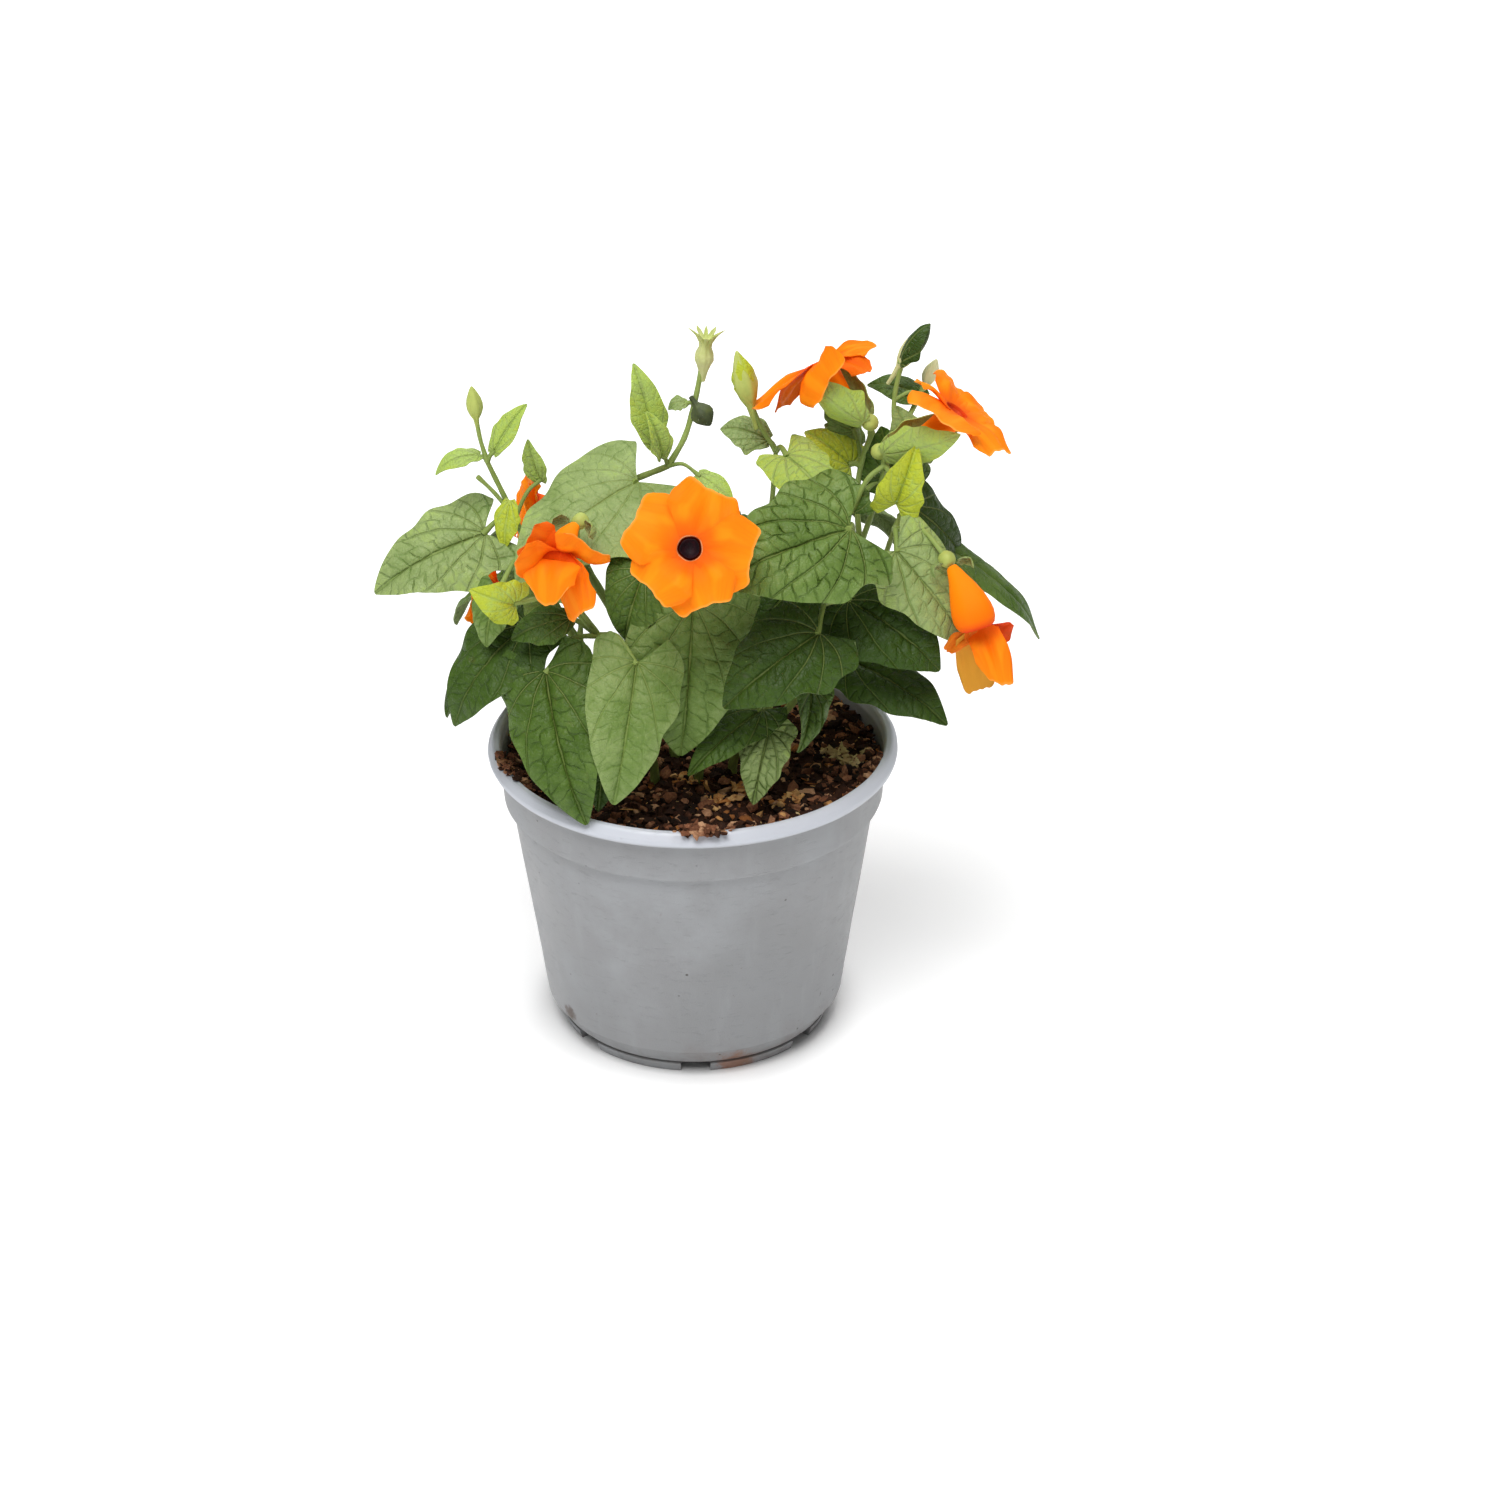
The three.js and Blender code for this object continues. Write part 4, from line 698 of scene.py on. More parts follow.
def spikes(roots: Array, ways: Array, length: Array, width: float) -> tuple[Array, Array]:
    """Make fine hairs, each a slim closed spike on a triangle.

    Args:
        roots: Where the hairs stand.
        ways: Directions that they point in.
        length: Their lengths.
        width: Radius of their feet.

    Returns:
        Corners and faces.
    """
    axis = np.where(np.abs(ways[:, 2:]) < 0.8, [UP], [[1.0, 0.0, 0.0]])
    across = unit(np.cross(ways, axis))
    over = np.cross(ways, across)
    foot = width * wheel(circle(3), across, over)
    places = np.concatenate([roots[:, None] + foot, (roots + ways * length[:, None])[:, None]], 1)
    one = np.array([[0, 1, 3, -1], [1, 2, 3, -1], [2, 0, 3, -1], [2, 1, 0, -1]])
    start = 4 * np.arange(len(roots))[:, None, None]
    faces = np.where(one[None] < 0, -1, one[None] + start).reshape(-1, 4)
    return places.reshape(-1, 3), faces


# ---- foliage


ARRAY_MATHS: dict[str, Callable[..., Array]] = {
    "ARCTAN2": np.arctan2, "FLOOR": np.floor, "GREATER_THAN": np.greater, "MINIMUM": np.minimum,
    "ROUND": np.round, "SINE": np.sin, "SQRT": np.sqrt,
}


def array_maths(operation: str, *values: Any) -> Array:
    """Do on arrays what a Math node of that operation does on sockets."""
    return ARRAY_MATHS[operation](*values)


@dataclass(frozen=True)
class Venation:
    """Where a point of a blade lies among its veins, on arrays or on sockets."""

    main: Any
    minor: Any
    patch: Any
    sectors: Any
    out: Any


def venation(
    maths: Callable[..., Any], rise: Callable[..., Any], x: Any, y: Any, length: Any, seed: Any
) -> Venation:
    """Find a point's place among a blade's veins.

    Main veins fan out from the joint and bend forwards: the angle from the midrib, times one plus
    0.9 of the share of the length to the power 1.5, is a multiple of 33 degrees. Cross veins
    join them at even steps outwards, further out on their outer side, and from a third of the
    length on a half vein splits each sector and shifts every other cross vein. Slow sines bend
    the main veins a little, and quick ones the others.

    Args:
        maths: Does a Math node's operation on values.
        rise: Rises smoothly from 0 to 1 as a value goes from a low to a high one.
        x: Place across the blade, from its midrib.
        y: Place along the blade, from its joint.
        length: Length of the blade.
        seed: Number that sets this blade's sines apart.

    Returns:
        Distances in millimetres to the nearest main vein and to the nearest half or cross vein, how
        deep the net is there, the angle in sectors, and the way out as a share of the length.
    """
    drift = 0.22 * maths("MINIMUM", maths("SQRT", x * x + y * y) * 0.1, 1.0)
    across = abs(x) + drift * maths("SINE", 0.33 * y + 0.2 * x + seed)
    ahead = y + drift * maths("SINE", 0.3 * x - 0.2 * y + 3.0 * seed)
    away = maths("SQRT", across * across + ahead * ahead)
    out = away / length
    bend = 1.0 + 0.9 * out**1.5
    sectors = maths("ARCTAN2", abs(across), ahead) * bend / VEIN_TURN
    sector = maths("FLOOR", sectors)
    part = sectors - sector
    width = VEIN_TURN * away / bend
    main = maths("MINIMUM", part, 1.0 - part) * width
    stray = 0.3 * maths("SINE", 0.9 * x + 0.7 * y + 2.0 * seed)
    stray = stray + 0.2 * maths("SINE", 1.3 * y - 1.1 * x + 5.0 * seed)
    split = rise(out, 0.22, 0.4)
    half = abs((part - 0.5) * width + stray) + 9.0 * (1.0 - split)
    step = 1.4 + 0.055 * length
    shift = 0.5 * maths("GREATER_THAN", part, 0.5) * split
    rung = (away * (1.0 - 0.25 * part) + 0.8 * stray) / step + 0.37 * sector + shift
    cross = abs(rung - maths("ROUND", rung)) * step
    patch = maths("SINE", 0.42 * x + 0.31 * y + seed) * maths("SINE", 0.37 * y - 0.28 * x + 2.0 * seed)
    return Venation(main, maths("MINIMUM", half, cross), 0.62 + 0.38 * patch, sectors, out)


@dataclass
class Blade:
    """A leaf's blade: heart-shaped when grown and lance-shaped when young, quilted between its veins."""

    leaf: Leaf
    seed: int
    thickness: float = 0.34
    tip: float = 0.03
    tooth: float = 0.075
    quilt_depth: float = 1.0
    ripple: float = 1.3
    large_width: float = 24.0
    large_grid: tuple[int, int] = (62, 51)
    grown_grid: tuple[int, int] = (42, 35)
    young_grid: tuple[int, int] = (30, 19)
    patterns: int = 97

    def __post_init__(self) -> None:
        """Work out the frame that the blade lies in."""
        leaf = self.leaf
        self.start = np.array(leaf.joint, float)
        self.reach = np.array(leaf.tip, float) - self.start
        self.length = float(np.linalg.norm(self.reach))
        self.along = self.reach / self.length
        face = np.array(leaf.face, float)
        self.up = unit(face - face.dot(self.along) * self.along)
        self.side = np.cross(self.along, self.up)
        self.half = leaf.width / 2.0
        self.scale = min(1.0, leaf.width / FULL_WIDTH)
        self.grown = leaf.width > GROWN_WIDTH
        self.base, self.widest, self.lobe = (0.72, 0.22, 0.26) if self.grown else (0.34, 0.4, 0.04)
        self.draw = np.random.default_rng(self.seed)

    def outline(self, s: Array) -> Array:
        """Half width along the midrib, as a share of the greatest.

        It rises by a quarter sine to the widest place, and falls by (1 - u) to the power 0.9 times
        (1 + 0.6 u) to a drawn-out tip, with u the share of the way from there to the tip.

        Args:
            s: Shares of the way along the midrib.

        Returns:
            Half widths of 0 to 1.
        """
        rise = self.base + (1.0 - self.base) * np.sin(np.pi * np.minimum(s, self.widest) / (2 * self.widest))
        u = np.clip((s - self.widest) / (1.0 - self.widest), 0.0, 1.0)
        fall = self.tip + (1.0 - self.tip) * (1.0 - u) ** 0.9 * (1.0 + 0.6 * u)
        return np.where(s < self.widest, rise, fall)

    def veins(self, x: Array, y: Array) -> tuple[Array, Array]:
        """Find the distance to the nearest main vein, and how deep the groove of any vein is.

        Grooves are narrow bells; those of the half and cross veins fade out in patches.

        Args:
            x: Places across the blade.
            y: Places along it.

        Returns:
            The distance in millimetres, and the depth of 0 to 1.
        """
        def rise(v: Array, low: float, high: float) -> Array:
            """Rise smoothly from 0 to 1 between two values."""
            return smoothstep(low, high, v)

        veins = venation(array_maths, rise, x, y, self.length, float(self.seed % self.patterns))
        wide = 0.25 + 0.65 * self.scale
        minor = 1.05 * veins.patch * bell(veins.minor, wide)
        return veins.main, np.maximum(bell(veins.main, wide), minor)

    def build(self, shell: Shell) -> None:
        """Lay the blade's two faces on one grid and add them.

        A point lies at s along the midrib and t across it, swept back towards the lobes by
        (1 - s) cubed times t to the 1.2, with each half folded up and arching down to its edge. On
        that lie the quilting, the midrib's groove and the waves of the edge.

        Args:
            shell: Foliage that the blade joins.
        """
        leaf, scale = self.leaf, self.scale
        young = self.grown_grid if self.grown else self.young_grid
        rows, columns = self.large_grid if leaf.width > self.large_width else young
        s = np.linspace(0.0, 1.0, rows)[:, None]
        t = np.linspace(-1.0, 1.0, columns)[None, :]
        far, sign = np.abs(t), np.sign(t)
        corner = np.clip(1.0 - s / 0.16, 0.0, 1.0) ** 2 * far**6 if self.grown else 0.0
        phase = self.draw.uniform(0.0, TURN, 6)
        teeth = self.tooth * np.sin(7.0 * np.pi * s) * t * t
        uneven = 0.06 * np.sin(13.0 * s + phase[0] + 1.7 * sign)
        uneven = uneven + 0.045 * np.sin(27.0 * s + phase[1] - sign)
        edge = 1.0 + (1.0 - s) * (teeth + uneven * t**4)
        out = self.half * self.outline(s) * edge * far * (1.0 - 0.12 * corner)
        lift, turn = math.radians(leaf.fold), math.radians(leaf.twist) * s
        x = sign * out * math.cos(lift)
        z = out * math.sin(lift) * 1.6 - 0.9 * out * out / leaf.width
        y = s * self.length - self.lobe * self.length * (1.0 - s) ** 3 * far**1.2 * (1.0 - 0.35 * corner)
        main, grooves = self.veins(x, y)
        inside = (1.0 - far**8) * smoothstep(0.0, 0.06, s) * (1.0 - s**8)
        lumps = ripples(x, y, self.seed + 7, 3.0, 9.0, 12)
        trench = bell(main, 0.9 * scale + 0.2)
        relief = self.quilt_depth * (0.4 - grooves) + 0.3 * lumps - 0.2 * trench
        relief = leaf.quilt * scale * inside * relief
        groove = 0.4 * scale * bell(x, scale + 0.3) * (1.0 - 0.6 * s)
        wave = np.sin(TURN * (1.9 * s + phase[2]) + 2.1 * sign) + 0.6 * np.sin(19.0 * s + phase[3] - sign)
        wave = self.ripple * scale * far**3 * wave * smoothstep(0.0, 0.25, s + 0.1) * (1.0 - s) ** 0.5
        droop = 0.035 * self.length * smoothstep(0.72, 1.0, s)
        height = leaf.bow * 4.0 * s * (1.0 - s) + z * np.cos(turn) + x * np.sin(turn)
        height = height + relief - groove + wave - droop
        shift = x * np.cos(turn) - z * np.sin(turn)
        upper = self.start + y[..., None] * self.along + shift[..., None] * self.side
        upper = upper + height[..., None] * self.up
        normal = unit(np.cross(np.gradient(upper, axis=1), np.gradient(upper, axis=0)))
        ribs = 0.5 * bell(x, 0.75 * scale + 0.2) * (1.0 - 0.7 * s) + 0.3 * trench * inside
        places, faces = slab(upper, upper - normal * (self.thickness + scale * ribs)[..., None])
        spot = np.stack([x, y, np.zeros_like(y)], -1).reshape(-1, 3)
        shell.add(
            places,
            faces,
            spot=np.concatenate([spot, spot + UP]),
            form=(self.half, self.length, 0.0),
            tone=(leaf.tone.value + self.draw.normal(0.0, 0.03), leaf.quilt, self.seed % self.patterns),
        )


@dataclass
class Stalks:
    """Stems, petioles, pedicels, receptacles and buds of a vine, with their short pale hairs."""

    vine: Vine
    seed: int
    root_depth: float = 8.0
    soil_top: float = 90.0
    petiole_radius: float = 0.8
    petiole_rise: float = 0.22
    petiole_root: float = 0.8
    pedicel_root: float = 0.1
    receptacle: float = 3.0
    sides: int = 12
    ribs: float = 0.035
    knob_sides: int = 24
    knob_ribs: float = 0.05
    bud_sides: int = 40
    hair_length: float = 0.75
    hair_radius: float = 0.045
    hairs_per_mm: float = 2.2

    def __post_init__(self) -> None:
        """Start the drawn numbers and join the stems' points."""
        self.draw = np.random.default_rng(self.seed)
        self.shell = Shell()
        x, y = self.vine.root
        roots = ((x, y, self.soil_top - self.root_depth), (x, y, self.soil_top + 5.0))
        self.paths: list[list[Point]] = []
        for order, stem in enumerate(self.vine.stems):
            if order == 0:
                self.paths.append([*roots, *stem.path])
            else:
                (parent, point), *rest = stem.path
                self.paths.append([self.paths[parent][point], *rest])

    def at(self, node: tuple[int, int]) -> Array:
        """Give the place of a stem's point."""
        return np.array(self.paths[node[0]][node[1]], float)

    def stalk(self, points: Array, radius: float, ends: float, age: float, taper: float = 0.0) -> None:
        """Add one round stalk along a smooth curve, swollen at both ends.

        Args:
            points: What it runs through.
            radius: Its radius.
            ends: How much thicker the ends are, as a share.
            age: 0 for a young green stalk and 1 for an old brownish one.
            taper: How much thinner it is at its far end, as a share.
        """
        path = smooth_path(points, 7)
        walk = walked(path)
        near = np.minimum(walk, walk[-1] - walk)
        thick = radius * (1.0 + ends * bell(near, 2.2 * radius + 0.6))
        thick = thick * (1.0 + 0.05 * np.sin(walk * 0.9 + self.seed)) * (1.0 - taper * walk / walk[-1])
        self.skin(closed_rings(carried(path, thick, self.sides, self.ribs)), age, Skin.STALK)
        self.fur(path, thick, age)

    def arm(
        self, node: tuple[int, int], foot: Array, ahead: Array, radius: float, ends: float, age: float
    ) -> None:
        """Add a petiole or a pedicel, which rises in its middle and sinks a little past its foot.

        Args:
            node: The stem's point that it leaves from.
            foot: Where it ends.
            ahead: What it points at there.
            radius: Its radius.
            ends: How much thicker the ends are, as a share.
            age: 0 for young and 1 for old.
        """
        start = self.at(node)
        middle = (start + foot) / 2.0
        middle[2] += self.petiole_rise * float(np.linalg.norm(foot - start))
        end = foot + self.petiole_root * unit(ahead - foot)
        self.stalk(np.array([start, middle, end]), radius, ends, age)

    def skin(self, body: tuple[Array, Array], age: float, kind: Skin) -> None:
        """Add a closed surface of one age and kind."""
        self.shell.add(*body, stalk=(age, 0.0, kind.value))

    def fur(self, path: Array, radius: Array, age: float) -> None:
        """Add hairs that stand off a stalk, leaning a little forwards.

        Args:
            path: The stalk's samples.
            radius: Its radius at each.
            age: 0 for young and 1 for old, where hairs are half as long.
        """
        ahead = unit(np.gradient(path, axis=0))
        count = int(walked(path)[-1] * self.hairs_per_mm)
        pick = self.draw.integers(1, len(path) - 1, count)
        slide = self.draw.uniform(-0.5, 0.5, count)[:, None] * (path[pick + 1] - path[pick])
        way = self.draw.normal(size=(count, 3))
        way = unit(way - (way * ahead[pick]).sum(1, keepdims=True) * ahead[pick])
        roots = path[pick] + slide + way * (radius[pick] * 0.9)[:, None]
        lengths = self.hair_length * self.draw.uniform(0.5, 1.2, count) * (1.0 - 0.5 * age)
        self.skin(spikes(roots, unit(way + 0.25 * ahead[pick]), lengths, self.hair_radius), 0.0, Skin.HAIR)

    def knob(self, base: Array, axis: Array) -> None:
        """Add a bloom's receptacle, a rounded knob behind the foot of the tube.

        Args:
            base: Foot of the tube.
            axis: Way from the knob's middle to there.
        """
        share = np.linspace(-1.0, 1.0, 9)
        swell = self.receptacle * np.sqrt(np.maximum(1.0 - (0.97 * share) ** 2, 0.02))
        path = base + (0.9 * share[:, None] - 1.0) * axis
        rings = carried(path, 0.85 * swell, self.knob_sides, self.knob_ribs)
        self.skin(closed_rings(rings), 0.4, Skin.BUD)

    def bud(self, bud: Bud) -> None:
        """Add a bud, a profile turned round its axis.

        A closed bud has five soft ribs that gather at its tip. A spent calyx flares, its rim is cut
        into narrow teeth by the tenth multiple of the angle, and those near three ways are longer.

        Args:
            bud: The bud's place, size and form.
        """
        base, tip = np.array(bud.base, float), np.array(bud.tip, float)
        reach = float(np.linalg.norm(tip - base))
        closed = bud.form is BudForm.CLOSED
        if closed:
            height = np.array([-0.5, -0.3, -0.08, 0.08, 0.25, 0.42, 0.6, 0.76, 0.9, 0.98, 1.0])
            width = np.array([0.2, 0.24, 0.36, 0.74, 0.98, 1.0, 0.86, 0.6, 0.34, 0.14, 0.03])
        else:
            height = np.array([-0.5, -0.2, 0.0, 0.15, 0.32, 0.5, 0.66, 0.82, 1.0, 0.8, 0.66, 0.62])
            width = np.array([0.2, 0.34, 0.52, 0.7, 0.66, 0.46, 0.5, 0.72, 1.0, 0.6, 0.34, 0.05])
        path = base + height[:, None] * (tip - base)
        ahead = unit(tip - base)
        across = unit(np.cross(ahead, [0.3, 1.0, 0.1]))
        angle = circle(self.bud_sides)
        if closed:
            ribs = 0.94 + 0.1 * np.cos(5.0 * angle + 1.8 * height[:, None])
            sharp = np.zeros_like(ribs)
        else:
            flare = smoothstep(0.55, 1.0, height)[:, None]
            gap, tooth = 0.5 - 0.5 * np.cos(10.0 * angle), 0.5 + 0.5 * np.cos(10.0 * angle)
            long = np.maximum(0.0, np.cos(3.0 * angle + 0.6)) * tooth
            ribs = 0.95 + 0.1 * tooth - 0.42 * flare * gap + 0.6 * flare**3 * long
            sharp = -0.2 * reach * flare * gap
        ring = wheel(angle, across, np.cross(ahead, across))
        rings = path[:, None] + (width[:, None] * bud.radius * ribs)[..., None] * ring
        self.skin(closed_rings(rings + sharp[..., None] * ahead), bud.age, Skin.BUD)
        share = np.linspace(-0.3, 0.95, 12)
        thick = bud.radius * np.interp(share, height[:9], width[:9])
        self.fur(base + share[:, None] * (tip - base), thick, 0.0)

    def build(self) -> Shell:
        """Build every stalk of the vine.

        Returns:
            The shell that holds them.
        """
        for order, stem in enumerate(self.vine.stems):
            ends, age, taper = (0.0, 0.35, 0.5) if order == 0 else (0.25, 0.12, 0.1)
            self.stalk(np.array(self.paths[order], float), stem.radius, ends, age, taper)
        for leaf in self.vine.leaves:
            radius = self.petiole_radius * (1.0 if leaf.width > GROWN_WIDTH else 0.75)
            self.arm(leaf.node, np.array(leaf.joint, float), np.array(leaf.tip, float), radius, 0.3, 0.25)
        for bloom in self.vine.blooms:
            base, mouth = np.array(bloom.base, float), np.array(bloom.mouth, float)
            heel = base - self.pedicel_root * (mouth - base)
            self.arm(bloom.node, heel, base, self.petiole_radius, 0.5, 0.2)
            self.knob(base, self.receptacle * throat_curve(bloom)[1][0])
        for bud in self.vine.buds:
            self.bud(bud)
        return self.shell


# ---- blooms


def throat_curve(bloom: Bloom) -> tuple[Array, Array, float]:
    """Run the tube's curve from the receptacle to the mouth, which it reaches along the facing.

    It is the quadratic Bezier whose middle point lies half the reach behind the mouth, sampled at
    even steps of its length.

    Args:
        bloom: The bloom.

    Returns:
        Samples, their tangents and the curve's length.
    """
    a, c = np.array(bloom.base, float), np.array(bloom.mouth, float)
    b = c - unit(np.array(bloom.facing, float)) * np.linalg.norm(c - a) / 2.0

    def curve(t: Array) -> Array:
        """Give the curve's points at shares of 0 to 1."""
        return (1 - t) ** 2 * a + 2 * t * (1 - t) * b + t * t * c

    share = np.linspace(0.0, 1.0, 201)[:, None]
    walk = walked(curve(share))
    even = np.interp(np.linspace(0.0, walk[-1], 41), walk, share[:, 0])[:, None]
    ahead = unit(2 * (1 - even) * (b - a) + 2 * even * (c - b))
    return curve(even), ahead, float(walk[-1])


@dataclass
class Corolla:
    """The orange part of a bloom: a tube that widens to its mouth, and five petals on the rim."""

    bloom: Bloom
    seed: int
    throat_radius: float = 3.5
    throat_depth: float = 6.0
    petal_start: float = 3.8
    sunk: float = 0.25
    sector: float = 1.06
    flare: float = 0.16
    blunt: float = 0.45
    tilt: float = 0.17
    thickness: float = 0.3
    sides: int = 48
    eye_sides: int = 40
    petal_grid: tuple[int, int] = (30, 33)

    def __post_init__(self) -> None:
        """Start the drawn numbers and run the tube's curve."""
        self.draw = np.random.default_rng(self.seed)
        self.path, self.ahead, self.length = throat_curve(self.bloom)
        self.facing = unit(np.array(self.bloom.facing, float))

    def turned(self, profile: Array, sides: int) -> Array:
        """Turn a profile of radius and height round the tube's curve.

        Height runs along the curve, and each ring is square to it, spanned by the level direction
        across it and the one square to both. Third and fifth multiples of the angle make it uneven.

        Args:
            profile: Radius and height, one row each.
            sides: Corners of a ring.

        Returns:
            Rings by corners by 3.
        """
        share = np.clip(profile[:, 1] / self.length, 0.0, 1.0)
        steps = np.linspace(0.0, 1.0, len(self.path))
        centre = np.stack([np.interp(share, steps, self.path[:, k]) for k in range(3)], -1)
        ahead = unit(np.stack([np.interp(share, steps, self.ahead[:, k]) for k in range(3)], -1))
        centre = centre + (profile[:, 1] - share * self.length)[:, None] * ahead
        out = unit(np.cross(UP, ahead))
        angle = circle(sides)
        uneven = 1.0 + 0.03 * np.sin(3.0 * angle + self.seed) + 0.02 * np.sin(5.0 * angle + 2.0 * self.seed)
        ring = wheel(angle, out, np.cross(ahead, out))
        return centre[:, None] + profile[:, :1, None] * uneven[:, None] * ring

    def tube(self, shell: Shell) -> None:
        """Add the tube, with a rounded rim and a throat that goes down inside it.

        Args:
            shell: Corolla that it joins.
        """
        full, deep = self.length, self.throat_depth
        wide, swell = self.throat_radius + 0.75, self.bloom.swell
        profile = np.array(
            [
                [0.3, 0.3], [1.0, 0.3], [1.7, 0.5], [1.9 + 0.15 * swell, 0.1 * full],
                [2.3 + 0.3 * swell, 0.22 * full], [3.0 + 0.55 * swell, 0.38 * full],
                [3.6 + 0.8 * swell, 0.55 * full], [3.95 + 0.97 * swell, 0.7 * full],
                [4.05 + swell, 0.8 * full], [4.1 + 0.85 * swell, 0.89 * full],
                [wide - 0.05 + 0.5 * swell, full - 0.9], [wide + 0.15 * swell, full - 0.35],
                [wide - 0.12, full - 0.1], [wide - 0.32, full + 0.02], [wide - 0.5, full - 0.02],
                [wide - 0.66, full - 0.2], [wide - 0.78, full - 0.55], [wide - 0.85, full - 1.2],
                [wide - 0.95, full - 2.4], [wide - 1.1, full - deep + 1.0], [1.8, full - deep],
                [0.3, full - deep],
            ]
        )
        outside = [0.95, 0.95, 0.95, 0.95, 0.9, 0.85, 0.75, 0.65, 0.6, 0.55, 0.4, 0.3, 0.22, 0.15, 0.1, 0.04]
        heat = np.array(outside + [0.0] * (len(profile) - len(outside)))
        heat = np.maximum(heat, 0.26 * self.bloom.throat)
        tint = np.concatenate([np.repeat(heat, self.sides), heat[:1], heat[-1:]])
        tint = np.stack([tint, np.full_like(tint, TUBE_SIDE), np.zeros_like(tint)], -1)
        shell.add(*closed_rings(self.turned(profile, self.sides)), tint=tint, mood=(0.0, 0.0, 0.0))

    def petal(self, petal: Petal, shell: Shell) -> None:
        """Add one petal.

        At u from the throat outwards and v across, its half width is the smaller of a sector of the
        disc and its own. A square end is longer by 0.16 v squared towards both corners, which are
        rounded by the eighth power of v, and a round one falls back by 0.45 v squared. The root's
        corners fall back by half the start's radius times v squared. The petal rises by the arch
        times the squared sine of pi u, lies over the next petal on one side, has a crease along its
        middle, and carries soft folds that run outwards and a wave along its edge, which curls down.

        Args:
            petal: The petal's tip, face and form.
            shell: Corolla that it joins.
        """
        ahead, mouth = self.facing, np.array(self.bloom.mouth, float)
        tip = np.array(petal.tip, float)
        radial = tip - mouth
        radial = unit(radial - radial.dot(ahead) * ahead)
        tangent = np.cross(ahead, radial)
        start = mouth + self.petal_start * radial - self.sunk * ahead
        reach = tip - start
        long = float(np.linalg.norm(reach))
        out = reach / long
        side = unit(np.cross(np.array(petal.face, float), out))
        rows, columns = self.petal_grid
        u = np.linspace(0.0, 1.0, rows)[:, None]
        v = np.linspace(-1.0, 1.0, columns)[None, :]
        phase = self.draw.uniform(0.0, TURN, 6)
        sector = self.sector * (self.petal_start + long * u)
        wide = np.minimum(sector, petal.width / 2.0 * (1.0 - 0.12 * u**4))
        x = v * wide * (1.0 - 0.04 * u**8)
        edge = 0.012 * np.sin(9.0 * v + phase[0]) + 0.007 * np.sin(17.0 * v + phase[1])
        square = self.flare * v * v - 0.36 * np.abs(v) ** 8
        end = (1.0 - petal.round) * square - petal.round * self.blunt * v * v + petal.skew * v + edge
        y = u * (1.0 + end * u * u)
        heel = 0.5 * self.petal_start * v * v * (1.0 - u) ** 4
        share = np.minimum(1.0, 2.5 * u)[..., None]
        across = unit(tangent * (1.0 - share) + side * share)
        up = unit(np.cross(out, across))
        fold = 0.5 * np.sin(1.5 * np.pi * v + phase[2]) + 0.14 * np.sin(4.1 * np.pi * v + phase[3])
        wave = 0.6 * np.sin(1.4 * np.pi * v + phase[4]) * u**4
        wave = wave + 0.2 * np.sin(3.6 * np.pi * v + phase[5]) * u**6
        crease = 0.55 * bell(v, 0.3) * np.sin(np.pi * np.clip(u * 1.1, 0.0, 1.0))
        curl = 0.5 * np.abs(v) ** 5 * smoothstep(0.35, 1.0, u)
        z = self.tilt * x * np.minimum(1.0, 2.0 * u) + petal.arch * np.sin(np.pi * u) ** 2
        z = z + petal.cup * v * v * u + fold * np.sin(np.pi * u) + wave - crease - curl
        upper = start + y[..., None] * reach + x[..., None] * across + z[..., None] * up
        upper = upper - heel[..., None] * radial
        normal = unit(np.cross(np.gradient(upper, axis=1), np.gradient(upper, axis=0)))
        lower = upper - self.thickness * (1.0 - 0.35 * u)[..., None] * normal
        places, faces = slab(upper, lower)
        heat = 0.2 + 0.8 * np.broadcast_to(u, upper.shape[:2]) ** 0.7
        spread = np.broadcast_to(v * (0.4 + 0.6 * u), heat.shape)
        tint = np.stack([heat, spread, np.zeros_like(heat)], -1).reshape(-1, 3)
        tint = np.concatenate([tint, tint + UP])
        shell.add(places, faces, tint=tint, mood=(petal.red, petal.faded, 0.0))

    def build(self) -> Shell:
        """Build the tube and its petals.

        Returns:
            The shell that holds them.
        """
        shell = Shell()
        self.tube(shell)
        for petal in self.bloom.petals:
            self.petal(petal, shell)
        return shell

    def eye(self) -> Shell:
        """Build the dark cup inside the throat.

        Returns:
            The shell that holds it.
        """
        full, low = self.length, self.length - self.throat_depth + 0.3
        inner = self.throat_radius
        profile = np.array(
            [
                [0.2, low], [inner - 1.3, low], [inner - 0.95, low + 0.8], [inner - 0.75, full - 2.4],
                [inner - 0.6, full - 1.0], [inner - 0.62, full - 0.75], [inner - 0.75, full - 0.7],
                [inner - 1.0, full - 1.2], [inner - 1.4, full - 2.0], [inner - 2.0, full - 2.7],
                [inner - 2.8, full - 3.0], [0.2, full - 3.1],
            ]
        )
        shell = Shell()
        shell.add(*closed_rings(self.turned(profile, self.eye_sides)), spot=(self.bloom.throat, 0.0, 0.0))
        return shell


